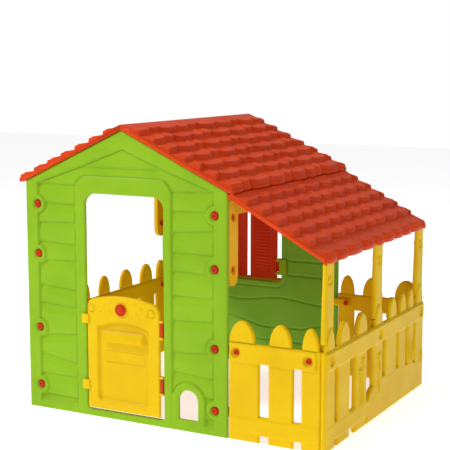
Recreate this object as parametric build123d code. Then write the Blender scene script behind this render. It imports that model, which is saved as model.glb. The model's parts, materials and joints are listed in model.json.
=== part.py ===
"""A child's plastic playhouse with a fenced porch, in millimetres, +Z up.

The house is four walls of moulded panels: a gable wall at the front and one at the back, and on each
side a picket fence below and a header with two legs above. A porch stands on the right under its own
roof panel, on three posts. Everything is drawn in the maker's frame, with x = 0 at the left edge of the
front wall, y = 0 on its front face and z = 0 on the floor, and is moved at the end so that the origin is
the middle of the footprint on the floor.
"""

from build123d import *
import os

# ---- driving dimensions, house ----
HOUSE_W = 910.0
HOUSE_D = 1050.0
EAVE_Z = 921.0
APEX_Z = 1133.0
WALL_T = 16.0
PANEL_T = 18.0
CORNER_R = 8.0

DOOR_X = (284.0, 636.0)
DOOR_SILL_Z = 30.0
LINTEL_Z = 885.0
DOOR_CORNER_R = 45.0
PET_HOLE_X = 742.0
PET_HOLE_R = 41.0
PET_HOLE_Z = (45.0, 160.0)

WINDOW_X = (278.0, 632.0)
WINDOW_Z = (394.0, 752.0)
WINDOW_CORNER_R = 28.0

# ---- driving dimensions, fences ----
FENCE_T = 20.0
RAIL_PROUD = 6.0
RAIL_Z = (298.0, 370.0)
RAIL_CORNER_R = 12.0
PICKET_SHOULDER_Z = 370.0
PICKET_TOP_Z = 453.0
LOW_RAIL_Z = (28.0, 100.0)
TONGUE_H = 34.0
TONGUE_REACH = 60.0
PICKET_OVERLAP = 60.0
RAIL_END = 6.0
SIDE_RAIL_END = 10.0
PORCH_RAIL_END = (5.0, 14.0)
POCKET_PLAY = 0.5
SIDE_FACE_X = 1304.0
PORCH_X0 = 914.0
# Each picket: where it starts and ends along the fence, its tip's place and the tip's half width.
FRONT_PICKETS = (
    (914.0, 1039.0, 969.0, 53.0),
    (1077.0, 1176.0, 1124.0, 45.0),
    (1208.0, 1284.0, 1242.0, 33.0),
)
SIDE_PICKETS = (
    (0.0, 90.0, 50.0, 36.0),
    (116.0, 231.0, 179.0, 48.0),
    (286.0, 399.0, 350.0, 48.0),
    (469.0, 566.0, 525.0, 38.0),
    (598.0, 722.0, 680.0, 40.0),
    (746.0, 834.0, 797.0, 36.0),
    (856.0, 927.0, 893.0, 32.0),
    (949.0, 1050.0, 1001.0, 38.0),
)
HILL_CRESTS = ((399.0, 96.0), (470.0, 138.0), (584.0, 156.0), (640.0, 142.0), (733.0, 152.0),
               (860.0, 140.0), (960.0, 128.0), (1050.0, 112.0))

# ---- driving dimensions, porch posts ----
POST_W = 72.0
POST_STARTS = (9.0, 489.0, 969.0)
POST_FACE_X = 1299.0
POST_TOP_T = 16.0
POST_LOW_T = 23.0
POST_STEP_Z = 396.0
POST_FOOT_Z = 230.0
POST_FOOT_T = 16.0
POST_HOLE_Z = 628.0
POST_NOSE = 5.0
WING_REACH = 22.0
WING_T = 16.0
WING_TOP_DROP = 4.0

# ---- driving dimensions, side headers ----
HEADER_BEAM_Z = 832.0
HEADER_TOP_Z = 919.0
HEADER_LEG_Z = 568.0
LEG_W = 68.0
LEDGE_Y = (110.0, 940.0)
LEDGE_W = 14.0
LEDGE_H = 24.0
LEDGE_TAPER = 8.0
LEG_ROUND_PLAY = 2.0

# ---- driving dimensions, roof ----
ROOF_OVER_Y = 4.0
TILE_LOW_T = 20.5
TILE_HIGH_T = 36.0
RISER_LEAN = 4.0
MAIN_ROWS = 7
MAIN_PITCH = 66.0
MAIN_EAVE_X = -27.0
# The rounded nose of the eave: how far in from its tip each corner is, and its height.
MAIN_NOSE = ((4.0, 919.5), (0.0, 926.0), (6.0, 949.0))
RIDGE_GAP = 1.0
PORCH_RISE = 0.545
PORCH_LOW_X = 1294.0
PORCH_LOW_Z = 693.8
PORCH_ROWS = 6
PORCH_PITCH = 61.3
PORCH_TIP_X = 1303.5
PORCH_SKIRT_Z = 684.0
PORCH_TONGUE_T = 12.0
PORCH_TONGUE_X = (912.0, 932.0)
PORCH_LIP_IN = 5.0
PORCH_TIP_R = (1.0, 3.0)
PORCH_LAST_TILE_IN = 4.0
PORCH_LAST_TILE_DROP = 8.0

# ---- driving dimensions, bolts ----
BOLT_R = 6.0
BOLT_HEAD_R = 17.0
BOLT_FLANGE_T = 4.0
BOLT_DOME_R = 11.0
BOLT_DOME_T = 3.0
NUT_R = 11.0
NUT_T = 8.0
SINK_R = 18.5
WALL_SINK = 3.0
PANEL_SINK = 7.0
GRIP_PLAY = 2.0
POST_GRIP_PLAY = 2.0
DOME_SPREAD = 3.0
WALL_BOLT_X = (55.0, 855.0)
WALL_BOLT_HIGH_Z = (831.0, 632.0)
WALL_BOLT_LOW_Z = (333.0, 97.0)
LEG_BOLT_Z = (826.0, 629.0)
LEG_BOLT_Y = 50.0
RAIL_BOLT_Z = 334.0
FRONT_RAIL_BOLT_X = (946.0, 1237.0)
BACK_RAIL_BOLT_X = (961.0, 1237.0)

# ---- driving dimensions, half door ----
LEAF_X = (289.0, 619.0)
LEAF_Y = (-4.0, 14.0)
LEAF_FOOT_Z = 36.0
LEAF_SHOULDER_Z = 467.0
LEAF_CROWN_Z = 493.0
LEAF_CORNER_R = 38.0
HINGE_X = 627.0
HINGE_Y = 5.0
HINGE_R = 7.0
HINGE_PIN_R = 4.0
PIN_PLAY = 0.08
HINGE_Z = ((352.0, 406.0), (134.0, 188.0))
EAR_T = 10.0
EAR_GAP = 0.5
LUG_X = (267.0, 300.0)
LUG_Z = ((374.0, 411.0), (110.0, 148.0))
KNOB_X = 448.0
KNOB_Z = 441.0
KNOB_R = 24.0
HOOD_X = (363.0, 549.0)
HOOD_Z = (314.0, 350.0)
HOOD_PROUD = (4.0, 9.0)
HOOD_SLOPE = 8.0
RECESS_DEPTH = 5.0
RECESS_SIDE = 46.0
RECESS_Z = (70.0, 388.0)
RECESS_CORNER_R = 30.0
LUG_Y = (-11.0, -0.5)
KNOB_STANDOFF = 10.0
KNOB_EDGE_R = 7.0
CLIP_END_X = 682.0
CLIP_T = 5.0
PIN_OVERRUN = 1.0
SCREW_X = 663.0
SCREW_INSET = 13.0
SCREW_R = 3.0
SCREW_HEAD_R = 6.0
SCREW_HEAD_T = 3.0

# ---- driving dimensions, shutters ----
SHUTTER_X = (464.0, 600.0)
SHUTTER_Y = (1054.0, 1068.0)
SHUTTER_Z = (405.0, 745.0)
SHUTTER_AXIS = (614.0, 1061.0)
SHUTTER_LUG_T = 10.0
SHUTTER_HINGE_Z = (427.0, 652.0)
SHUTTER_HINGE_H = 71.0
SHUTTER_PIN_R = 3.0
KNUCKLE_R = 6.0
PLANTER_X = (292.0, 618.0)
PLANTER_Y = (1050.0, 1112.0)
PLANTER_Z = (316.0, 398.0)
PLANTER_WALL = 4.0
SLAT_PITCH = 15.0
SLAT_START = 40.0
SLAT_FIELD_LESS = 66.0
SLAT_SIDE = (24.0, 26.0)
SLAT_DEPTH = 2.5
SLAT_HALF_H = 2.0
WEB_HALF_T = 4.0
WEB_BITE = 2.0
BRACKET_T = 5.0
BRACKET_X = (6.0, 28.0)

MID_X = HOUSE_W / 2
MID_Y = HOUSE_D / 2
ROOF_RISE = (APEX_Z - EAVE_Z) / MID_X
parts = {}
bolt_sets = {}


# ---- small drawing helpers ----
def upright(sketch, y_front, y_back):
    """A sketch drawn as (x, z), made solid between two depths."""
    return Pos(0, y_back, 0) * extrude(Plane.XZ * sketch, y_back - y_front)


def sideways(sketch, x_left, x_right):
    """A sketch drawn as (y, z), made solid between two widths."""
    return Pos(x_left, 0, 0) * extrude(Plane.YZ * sketch, x_right - x_left)


def box(x, y, z):
    """A block from its (low, high) pairs along x, y and z."""
    size = (x[1] - x[0], y[1] - y[0], z[1] - z[0])
    return Pos((x[0] + x[1]) / 2, (y[0] + y[1]) / 2, (z[0] + z[1]) / 2) * Box(*size)


def window(u, v, radius=0.0):
    """A rectangle in a sketch from its (low, high) pairs, with round corners where a radius is given."""
    width, height = u[1] - u[0], v[1] - v[0]
    shape = RectangleRounded(width, height, radius) if radius else Rectangle(width, height)
    return Pos((u[0] + u[1]) / 2, (v[0] + v[1]) / 2) * shape


def outline(*points):
    return make_face(Polyline(*points, close=True))


def upright_rod(x, y, z, radius):
    """A vertical cylinder through (x, y) between two heights."""
    return Pos(x, y, (z[0] + z[1]) / 2) * Cylinder(radius, z[1] - z[0])


def mirror_x(part):
    """The same piece on the other side of the house."""
    return mirror(part, Plane.YZ.offset(MID_X))


def mirror_y(part):
    """The same piece at the other end of the house."""
    return mirror(part, Plane.XZ.offset(-MID_Y))


def half_turn(part, x, y):
    """The same piece turned by 180 degrees about an upright line."""
    return Pos(x, y, 0) * (Rot(0, 0, 180) * (Pos(-x, -y, 0) * part))


# ---- bolts: a round dished head, a shank and a round nut behind ----
OUTWARDS = {"front": Rot(90, 0, 0), "back": Rot(-90, 0, 0), "right": Rot(0, 90, 0), "left": Rot(0, -90, 0)}


def add_bolts(set_name, points, out, grip):
    """Notes bolts whose heads sit on the given points, look outwards and clamp a stack as thick as grip."""
    bolt_sets.setdefault(set_name, []).extend((point, out, grip) for point in points)


def drilled(part, *set_names):
    """The part with each bolt's hole and the round sink of its head cut from it."""
    for set_name in set_names:
        for point, out, grip in bolt_sets[set_name]:
            hole = Pos(0, 0, -grip / 2) * Cylinder(BOLT_R, grip)
            sink = Pos(0, 0, PANEL_SINK) * Cylinder(SINK_R, 2 * PANEL_SINK)
            part -= Pos(*point) * OUTWARDS[out] * (hole + sink)
    return part


def bolt(grip):
    flange = Pos(0, 0, BOLT_FLANGE_T / 2) * Cylinder(BOLT_HEAD_R, BOLT_FLANGE_T)
    dome_z = BOLT_FLANGE_T + BOLT_DOME_T / 2
    dome = Pos(0, 0, dome_z) * Cone(BOLT_DOME_R + DOME_SPREAD, BOLT_DOME_R, BOLT_DOME_T)
    length = grip + NUT_T
    return flange + dome + Pos(0, 0, -length / 2) * Cylinder(BOLT_R, length)


def nut(grip):
    body = Pos(0, 0, -grip - NUT_T / 2)
    return body * Cylinder(NUT_R, NUT_T) - body * Cylinder(BOLT_R, NUT_T)


def make_fasteners():
    """One node of bolts and one of nuts for each panel that they hold."""
    for set_name, places in bolt_sets.items():
        bolts = [Pos(*point) * OUTWARDS[out] * bolt(grip) for point, out, grip in places]
        nuts = [Pos(*point) * OUTWARDS[out] * nut(grip) for point, out, grip in places]
        parts[set_name + "_bolts"] = Compound(children=bolts)
        parts[set_name + "_nuts"] = Compound(children=nuts)


def plan_bolts():
    wall_grip = WALL_T - WALL_SINK + PANEL_T
    heights = WALL_BOLT_HIGH_Z + WALL_BOLT_LOW_Z
    front = [(x, WALL_SINK, z) for x in WALL_BOLT_X for z in heights]
    add_bolts("front_wall", front, "front", wall_grip)
    back = [(x, HOUSE_D - WALL_SINK, z) for x in WALL_BOLT_X for z in heights]
    add_bolts("back_wall", back, "back", wall_grip)
    leg_ys = (LEG_BOLT_Y, HOUSE_D - LEG_BOLT_Y)
    leg_grip = PANEL_T - PANEL_SINK
    right = [(HOUSE_W - PANEL_SINK, y, z) for y in leg_ys for z in LEG_BOLT_Z]
    left = [(PANEL_SINK, y, z) for y in leg_ys for z in LEG_BOLT_Z]
    add_bolts("right_header", right, "right", leg_grip)
    add_bolts("left_header", left, "left", leg_grip)
    rail_seat = PANEL_SINK - RAIL_PROUD
    fence_grip = FENCE_T - rail_seat + PANEL_T - GRIP_PLAY
    front_rail = [(x, rail_seat, RAIL_BOLT_Z) for x in FRONT_RAIL_BOLT_X]
    back_rail = [(x, HOUSE_D - rail_seat, RAIL_BOLT_Z) for x in BACK_RAIL_BOLT_X]
    add_bolts("porch_front_fence", front_rail, "front", fence_grip)
    add_bolts("porch_back_fence", back_rail, "back", fence_grip)
    post_grip = FENCE_T - rail_seat + POST_FOOT_T
    side = [(SIDE_FACE_X - rail_seat, y + POST_W / 2, RAIL_BOLT_Z) for y in POST_STARTS]
    add_bolts("porch_side_fence", side, "right", post_grip)
    left_rail = [(rail_seat, y, RAIL_BOLT_Z) for y in (LEG_BOLT_Y, MID_Y, HOUSE_D - LEG_BOLT_Y)]
    add_bolts("left_fence", left_rail, "left", FENCE_T - rail_seat)
    high = [(POST_FACE_X - WALL_SINK, y + POST_W / 2, POST_HOLE_Z) for y in POST_STARTS]
    add_bolts("porch_post", high, "right", POST_TOP_T - WALL_SINK + POST_GRIP_PLAY)


# ---- the two gable walls ----
def gable():
    return outline((0, 0), (HOUSE_W, 0), (HOUSE_W, EAVE_Z), (MID_X, APEX_Z), (0, EAVE_Z))


def front_wall():
    """The gable wall with the doorway and the small arched pet hole."""
    doorway = window(DOOR_X, (DOOR_SILL_Z, LINTEL_Z), DOOR_CORNER_R)
    square_foot = window(DOOR_X, (DOOR_SILL_Z, DOOR_SILL_Z + 2 * DOOR_CORNER_R))
    arch_z = PET_HOLE_Z[1] - PET_HOLE_R
    pet_hole = Pos(PET_HOLE_X, arch_z) * Circle(PET_HOLE_R)
    pet_hole += window((PET_HOLE_X - PET_HOLE_R, PET_HOLE_X + PET_HOLE_R), (PET_HOLE_Z[0], arch_z))
    wall = upright(gable() - doorway - square_foot - pet_hole, 0, WALL_T)
    parts["front_wall"] = drilled(wall, "front_wall")


def back_wall():
    """The gable wall with the shuttered window."""
    opening = window(WINDOW_X, WINDOW_Z, WINDOW_CORNER_R)
    wall = upright(gable() - opening, HOUSE_D - WALL_T, HOUSE_D)
    parts["back_wall"] = drilled(wall, "back_wall")


# ---- side headers ----
def right_header():
    """A beam under the eave with a leg at each end and a ledge outside for the porch roof.

    Each leg is an L in plan: one face along the side, one behind the gable wall, so that bolts hold both.
    """
    y0 = WALL_T
    leg_r = LEG_W / 2 - LEG_ROUND_PLAY
    leg_mid = y0 + LEG_W / 2
    side = window((y0, HOUSE_D - y0), (HEADER_BEAM_Z, HEADER_TOP_Z))
    for mid in (leg_mid, HOUSE_D - leg_mid):
        side += window((mid - LEG_W / 2, mid + LEG_W / 2), (HEADER_LEG_Z + leg_r, HEADER_TOP_Z))
        side += Pos(mid, HEADER_LEG_Z + leg_r) * Circle(leg_r)
    body = sideways(side, HOUSE_W - PANEL_T, HOUSE_W)
    inner_x = HOUSE_W - PANEL_T - LEG_W
    flange = window((inner_x, HOUSE_W - PANEL_T), (HEADER_LEG_Z + leg_r, HEADER_TOP_Z))
    flange += Pos(inner_x + LEG_W / 2, HEADER_LEG_Z + leg_r) * Circle(leg_r)
    corner_x = (HOUSE_W - PANEL_T - leg_r, HOUSE_W - PANEL_T)
    flange += window(corner_x, (HEADER_LEG_Z + leg_r - 1, HEADER_LEG_Z + 2 * leg_r))
    front_flange = upright(flange, y0, y0 + PANEL_T)
    body += front_flange + mirror_y(front_flange)
    top_z = porch_base(HOUSE_W)
    out_x = HOUSE_W + LEDGE_W
    low_z = top_z - LEDGE_H
    out_z = low_z - LEDGE_W * PORCH_RISE + LEDGE_TAPER
    ledge = outline((HOUSE_W, low_z), (out_x, out_z), (out_x, porch_base(out_x)), (HOUSE_W, top_z))
    return body + upright(ledge, *LEDGE_Y)


def side_headers():
    header = right_header()
    parts["right_header"] = drilled(header, "right_header", "front_wall", "back_wall")
    parts["left_header"] = drilled(mirror_x(header), "left_header", "front_wall", "back_wall")


# ---- fences ----
def picket(start, end, tip, half):
    """A plank with a bullet-shaped top: a rectangle under the upper half of an ellipse."""
    shape = window((start, end), (0, RAIL_Z[1] - PICKET_OVERLAP / 2))
    shape += window((tip - half, tip + half), (PICKET_SHOULDER_Z - PICKET_OVERLAP, PICKET_SHOULDER_Z))
    shape += Pos(tip, PICKET_SHOULDER_Z) * Ellipse(half, PICKET_TOP_Z - PICKET_SHOULDER_Z)
    return shape


def fence_face(pickets, hills=()):
    """The flat outline of a fence: its pickets, its two rails and, where given, a low wall of hills."""
    start, end = pickets[0][0], pickets[-1][1]
    face = window((start, end), RAIL_Z) + window((start, end), LOW_RAIL_Z)
    for plank in pickets:
        face += picket(*plank)
    if hills:
        face += outline((hills[0][0], 0), (hills[-1][0], 0), *reversed(hills))
    return face


def porch_end_fences():
    """Three pickets at each end of the porch: one moulding, turned half round for the back.

    Two tongues reach behind the gable wall to its lowest bolts.
    """
    x_end = SIDE_FACE_X - FENCE_T
    panel = upright(fence_face(FRONT_PICKETS), 0, FENCE_T)
    rail_x = (PORCH_X0 + PORCH_RAIL_END[0], x_end - PORCH_RAIL_END[1])
    rail = window(rail_x, RAIL_Z, RAIL_CORNER_R)
    panel += upright(rail, -RAIL_PROUD, FENCE_T / 2)
    turned = half_turn(panel, (PORCH_X0 + x_end) / 2, MID_Y)
    post_x = (POST_FACE_X - POST_LOW_T - POCKET_PLAY, POST_FACE_X)
    post_y = (POST_STARTS[-1], HOUSE_D)
    turned -= box(post_x, post_y, (POST_STEP_Z - POCKET_PLAY, PICKET_TOP_Z + 1))
    tongue_end = PORCH_X0 + TONGUE_REACH
    for z in WALL_BOLT_LOW_Z:
        height = (z - TONGUE_H / 2, z + TONGUE_H / 2)
        tongue = box((WALL_BOLT_X[1] - TONGUE_H / 2, PORCH_X0), (WALL_T, WALL_T + PANEL_T), height)
        tongue += box((PORCH_X0, tongue_end), (FENCE_T / 2, FENCE_T + WALL_T), height)
        panel += tongue
        turned += mirror_y(tongue)
    parts["porch_front_fence"] = drilled(panel, "porch_front_fence", "front_wall")
    parts["porch_back_fence"] = drilled(turned, "porch_back_fence", "back_wall")


def porch_side_fence():
    """Eight uneven pickets with hills below, thinned behind for the three posts."""
    inner_x = SIDE_FACE_X - FENCE_T
    panel = sideways(fence_face(SIDE_PICKETS, HILL_CRESTS), inner_x, SIDE_FACE_X)
    rail = window((SIDE_RAIL_END, HOUSE_D - SIDE_RAIL_END), RAIL_Z, RAIL_CORNER_R)
    panel += sideways(rail, inner_x + FENCE_T / 2, SIDE_FACE_X + RAIL_PROUD)
    for start in POST_STARTS:
        pocket = ((inner_x, POST_FACE_X), (start, start + POST_W), (POST_STEP_Z, PICKET_TOP_Z + 1))
        panel -= box(*pocket)
    parts["porch_side_fence"] = drilled(panel, "porch_side_fence")


def left_fence():
    """The same fence closing the left side of the house, between the gable walls."""
    y_low, y_high = WALL_T, HOUSE_D - WALL_T
    pickets = []
    for start, end, tip, half in SIDE_PICKETS:
        near, far = max(HOUSE_D - end, y_low), min(HOUSE_D - start, y_high)
        middle = HOUSE_D - tip
        pickets.append((near, far, middle, min(half, middle - near, far - middle)))
    pickets.sort()
    hills = sorted((max(HOUSE_D - y, y_low), z) for y, z in HILL_CRESTS)
    panel = sideways(fence_face(pickets, hills), 0, FENCE_T)
    rail = window((y_low + RAIL_END, y_high - RAIL_END), RAIL_Z, RAIL_CORNER_R)
    panel += sideways(rail, -RAIL_PROUD, FENCE_T / 2)
    flange = upright(window((FENCE_T, FENCE_T + LEG_W), (0, RAIL_Z[1])), y_low, y_low + PANEL_T)
    panel += flange + mirror_y(flange)
    parts["left_fence"] = drilled(panel, "left_fence", "front_wall", "back_wall")


# ---- porch posts ----
def porch_posts():
    """Three tapered planks that stand on a foot behind the side fence and carry the porch roof.

    The two corner posts also have a wing behind the porch's front and back fences.
    """
    inner_x = SIDE_FACE_X - FENCE_T
    upper = outline(
        (POST_FACE_X - POST_LOW_T, POST_STEP_Z),
        (POST_FACE_X, POST_STEP_Z),
        (POST_FACE_X - POST_NOSE, porch_base(POST_FACE_X - POST_NOSE)),
        (POST_FACE_X - POST_TOP_T, porch_base(POST_FACE_X - POST_TOP_T)),
    )
    upper += window((POST_FACE_X - POST_NOSE, POST_FACE_X), (POST_STEP_Z, PORCH_SKIRT_Z))
    foot = window((inner_x - POST_FOOT_T, inner_x), (POST_FOOT_Z, POST_STEP_Z))
    wing_x = FRONT_RAIL_BOLT_X[1] - WING_REACH
    for name, start in zip(("front", "middle", "rear"), POST_STARTS):
        plank = (start, start + POST_W)
        post = upright(upper, *plank)
        if name == "middle":
            post += upright(foot, *plank)
        else:
            front = name == "front"
            inside = (FENCE_T, plank[1]) if front else (plank[0], HOUSE_D - FENCE_T)
            wing_z = (POST_FOOT_Z, RAIL_Z[1] - WING_TOP_DROP)
            wing = box((wing_x, inner_x), (FENCE_T, FENCE_T + WING_T), wing_z)
            post += upright(foot, *inside)
            post += wing if front else mirror_y(wing)
            nut_place = Pos(inner_x - POST_FOOT_T - NUT_T / 2, start + POST_W / 2, RAIL_BOLT_Z)
            post -= nut_place * Rot(0, 90, 0) * Cylinder(NUT_R + POCKET_PLAY, NUT_T)
        fences = ("porch_side_fence", "porch_front_fence", "porch_back_fence")
        parts["porch_post_" + name] = drilled(post, "porch_post", *fences)


# ---- roofs ----
def main_base(x):
    """Height of the left roof panel's underside."""
    return EAVE_Z + ROOF_RISE * x


def porch_base(x):
    """Height of the porch roof's underside."""
    return PORCH_LOW_Z + (PORCH_LOW_X - x) * PORCH_RISE


def tile_steps(base, low_x, pitch, count):
    """The saw-tooth top of a panel: each row starts thick at its low edge and thins towards the next row."""
    points = []
    lean = RISER_LEAN if pitch > 0 else -RISER_LEAN
    for row in range(count):
        x = low_x + row * pitch
        if row:
            points.append((x - lean, base(x - lean) + TILE_LOW_T))
        points.append((x + lean, base(x + lean) + TILE_HIGH_T))
    return points


def main_roof():
    """The left and right panels, which lean on each other at the ridge."""
    first_x = MID_X - MAIN_ROWS * MAIN_PITCH - RIDGE_GAP
    nose = ((0, main_base(0)), *((MAIN_EAVE_X + inset, z) for inset, z in MAIN_NOSE))
    steps = tile_steps(main_base, first_x, MAIN_PITCH, MAIN_ROWS)
    ridge = ((MID_X, APEX_Z + TILE_LOW_T), (MID_X, APEX_Z))
    panel = upright(outline(*nose, *steps, *ridge), -ROOF_OVER_Y, HOUSE_D + ROOF_OVER_Y)
    parts["roof_left"] = panel
    parts["roof_right"] = mirror_x(panel)


def porch_roof():
    """The porch panel: its thin upper edge lies on the header's ledge, its low edge on the posts."""
    tip_row_x = PORCH_TIP_X - PORCH_LAST_TILE_IN
    tip_z = porch_base(PORCH_TIP_X) + TILE_HIGH_T - PORCH_LAST_TILE_DROP
    top_x = PORCH_TONGUE_X[1]
    steps = tile_steps(porch_base, tip_row_x, -PORCH_PITCH, PORCH_ROWS)
    lip = (
        (PORCH_LOW_X, porch_base(PORCH_LOW_X)),
        (PORCH_LOW_X + PORCH_LIP_IN, PORCH_SKIRT_Z),
        (PORCH_TIP_X - PORCH_TIP_R[0], PORCH_SKIRT_Z),
        (PORCH_TIP_X, PORCH_SKIRT_Z + PORCH_TIP_R[1]),
        (PORCH_TIP_X, tip_z),
    )
    tongue_x = PORCH_TONGUE_X[0]
    tongue = ((top_x, porch_base(top_x) + TILE_LOW_T), (top_x, porch_base(top_x) + PORCH_TONGUE_T),
              (tongue_x, porch_base(tongue_x) + PORCH_TONGUE_T), (tongue_x, porch_base(tongue_x)))
    panel = upright(outline(*lip, *steps, *tongue), -ROOF_OVER_Y, HOUSE_D + ROOF_OVER_Y)
    parts["porch_roof"] = panel


# ---- half door ----
def door_leaf():
    """An arched leaf with a letter-slot hood, two stop lugs on its left and two pairs of hinge ears."""
    x0, x1 = LEAF_X
    crown = ThreePointArc((x0, LEAF_SHOULDER_Z), ((x0 + x1) / 2, LEAF_CROWN_Z), (x1, LEAF_SHOULDER_Z))
    frame_line = Polyline((x1, LEAF_SHOULDER_Z), (x1, LEAF_FOOT_Z), (x0, LEAF_FOOT_Z), (x0, LEAF_SHOULDER_Z))
    leaf = upright(make_face([crown, frame_line]), *LEAF_Y)
    edges = leaf.edges().filter_by(Axis.Y)
    shoulders = [edge for edge in edges if abs(edge.center().Z - LEAF_SHOULDER_Z) < 1]
    leaf = fillet(shoulders, LEAF_CORNER_R)
    depth = LEAF_Y[0] + RECESS_DEPTH
    recess = window((x0 + RECESS_SIDE, x1 - RECESS_SIDE), RECESS_Z, RECESS_CORNER_R)
    leaf -= upright(recess, LEAF_Y[0], depth)
    hood_top = (LEAF_Y[0] - HOOD_PROUD[0], HOOD_Z[1] - HOOD_SLOPE)
    hood_lip = (LEAF_Y[0] - HOOD_PROUD[1], HOOD_Z[0])
    hood = outline((depth, HOOD_Z[0]), (depth, HOOD_Z[1]), hood_top, hood_lip)
    leaf += sideways(hood, *HOOD_X)
    for z in LUG_Z:
        leaf += box(LUG_X, LUG_Y, z)
    for low, high in HINGE_Z:
        for ear_z in ((low - EAR_GAP - EAR_T, low - EAR_GAP), (high + EAR_GAP, high + EAR_GAP + EAR_T)):
            ear = box((x1 - WEB_BITE, HINGE_X), (HINGE_Y - HINGE_R, HINGE_Y + HINGE_R), ear_z)
            ear += upright_rod(HINGE_X, HINGE_Y, ear_z, HINGE_R)
            leaf += ear - upright_rod(HINGE_X, HINGE_Y, ear_z, HINGE_PIN_R + PIN_PLAY)
    knob_hole = Rot(90, 0, 0) * Cylinder(BOLT_R, 2 * (LEAF_Y[1] - LEAF_Y[0]))
    leaf -= Pos(KNOB_X, sum(LEAF_Y) / 2, KNOB_Z) * knob_hole
    parts["door_leaf"] = leaf


def door_knob():
    """A round pull with a stem through the leaf and a nut behind it."""
    front = LEAF_Y[0]
    body = Pos(KNOB_X, front - KNOB_STANDOFF / 2, KNOB_Z) * Rot(90, 0, 0) * Cylinder(KNOB_R, KNOB_STANDOFF)
    rim = body.edges().filter_by(GeomType.CIRCLE).sort_by(Axis.Y)[0]
    body = fillet(rim, KNOB_EDGE_R)
    length = LEAF_Y[1] - front + NUT_T + GRIP_PLAY
    body += Pos(KNOB_X, front + length / 2, KNOB_Z) * Rot(90, 0, 0) * Cylinder(BOLT_R, length)
    parts["door_knob"] = body
    ring = Pos(KNOB_X, LEAF_Y[1] + NUT_T / 2, KNOB_Z) * Rot(90, 0, 0)
    parts["door_knob_nut"] = ring * Cylinder(NUT_R, NUT_T) - ring * Cylinder(BOLT_R, NUT_T)


def door_hinges():
    """Two clips screwed behind the door frame, each with a barrel and a pin that the leaf's ears turn on."""
    plate_x = (HINGE_X, CLIP_END_X)
    plate_y = (WALL_T, WALL_T + CLIP_T)
    for name, (low, high) in zip(("upper", "lower"), HINGE_Z):
        clip = upright_rod(HINGE_X, HINGE_Y, (low, high), HINGE_R)
        clip += box((HINGE_X, HINGE_X + HINGE_R), (HINGE_Y, plate_y[1]), (low, high))
        clip += box(plate_x, plate_y, (low, high))
        reach = EAR_T + PIN_OVERRUN
        clip += upright_rod(HINGE_X, HINGE_Y, (low - reach, high + reach), HINGE_PIN_R)
        screws = []
        for z in (low + SCREW_INSET, high - SCREW_INSET):
            place = Pos(SCREW_X, plate_y[1], z) * OUTWARDS["back"]
            shank = Pos(0, 0, -CLIP_T / 2) * Cylinder(SCREW_R, CLIP_T)
            clip -= place * shank
            head = Pos(0, 0, SCREW_HEAD_T / 2) * Cylinder(SCREW_HEAD_R, SCREW_HEAD_T)
            screws.append(place * (head + shank))
        parts["door_hinge_" + name] = clip
        parts["door_hinge_screws_" + name] = Compound(children=screws)


# ---- window shutters and planter ----
def shutter_right():
    """A louvred shutter with one barrel for each bracket."""
    x0, x1 = SHUTTER_X
    axis_x, axis_y = SHUTTER_AXIS
    body = box(SHUTTER_X, SHUTTER_Y, SHUTTER_Z)
    body = fillet(body.edges().filter_by(Axis.Y), CORNER_R)
    slat_x = (x0 + SLAT_SIDE[0], x1 - SLAT_SIDE[1])
    slat_y = (SHUTTER_Y[0], SHUTTER_Y[0] + SLAT_DEPTH)
    for slat in range(int((SHUTTER_Z[1] - SHUTTER_Z[0] - SLAT_FIELD_LESS) / SLAT_PITCH)):
        z = SHUTTER_Z[0] + SLAT_START + slat * SLAT_PITCH
        body -= box(slat_x, slat_y, (z - SLAT_HALF_H, z + SLAT_HALF_H))
    for low in SHUTTER_HINGE_Z:
        barrel_z = (low + SHUTTER_LUG_T + EAR_GAP, low + SHUTTER_HINGE_H - SHUTTER_LUG_T - EAR_GAP)
        web = box((x1 - WEB_BITE, axis_x), (axis_y - WEB_HALF_T, axis_y + WEB_HALF_T), barrel_z)
        barrel = web + upright_rod(axis_x, axis_y, barrel_z, KNUCKLE_R)
        body += barrel - upright_rod(axis_x, axis_y, barrel_z, SHUTTER_PIN_R + PIN_PLAY)
    return body


def shutter_bracket(low):
    """A plate on the inner face of the wall with two arms through the window to the shutter's pin."""
    axis_x, axis_y = SHUTTER_AXIS
    inner_y = HOUSE_D - WALL_T
    high = low + SHUTTER_HINGE_H
    plate_y = (inner_y - BRACKET_T, inner_y)
    bracket = box((WINDOW_X[1] - BRACKET_X[0], WINDOW_X[1] + BRACKET_X[1]), plate_y, (low, high))
    for arm_z in ((low, low + SHUTTER_LUG_T), (high - SHUTTER_LUG_T, high)):
        bracket += box((axis_x - KNUCKLE_R, WINDOW_X[1]), (plate_y[0], HOUSE_D), arm_z)
        arm = box((axis_x - KNUCKLE_R, axis_x + KNUCKLE_R), (HOUSE_D - WEB_BITE, axis_y), arm_z)
        arm += upright_rod(axis_x, axis_y, arm_z, KNUCKLE_R)
        bracket += arm
    return bracket - upright_rod(axis_x, axis_y, (low, high), SHUTTER_PIN_R)


def shutters():
    leaf = shutter_right()
    parts["shutter_right"] = leaf
    parts["shutter_left"] = mirror_x(leaf)
    for level, low in zip(("lower", "upper"), SHUTTER_HINGE_Z):
        bracket = shutter_bracket(low)
        parts["shutter_bracket_right_" + level] = bracket
        parts["shutter_bracket_left_" + level] = mirror_x(bracket)
    spans = [(low, low + SHUTTER_HINGE_H) for low in SHUTTER_HINGE_Z]
    pins = [upright_rod(*SHUTTER_AXIS, span, SHUTTER_PIN_R) for span in spans]
    parts["shutter_pins_right"] = Compound(children=pins)
    parts["shutter_pins_left"] = Compound(children=[mirror_x(pin) for pin in pins])


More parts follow.
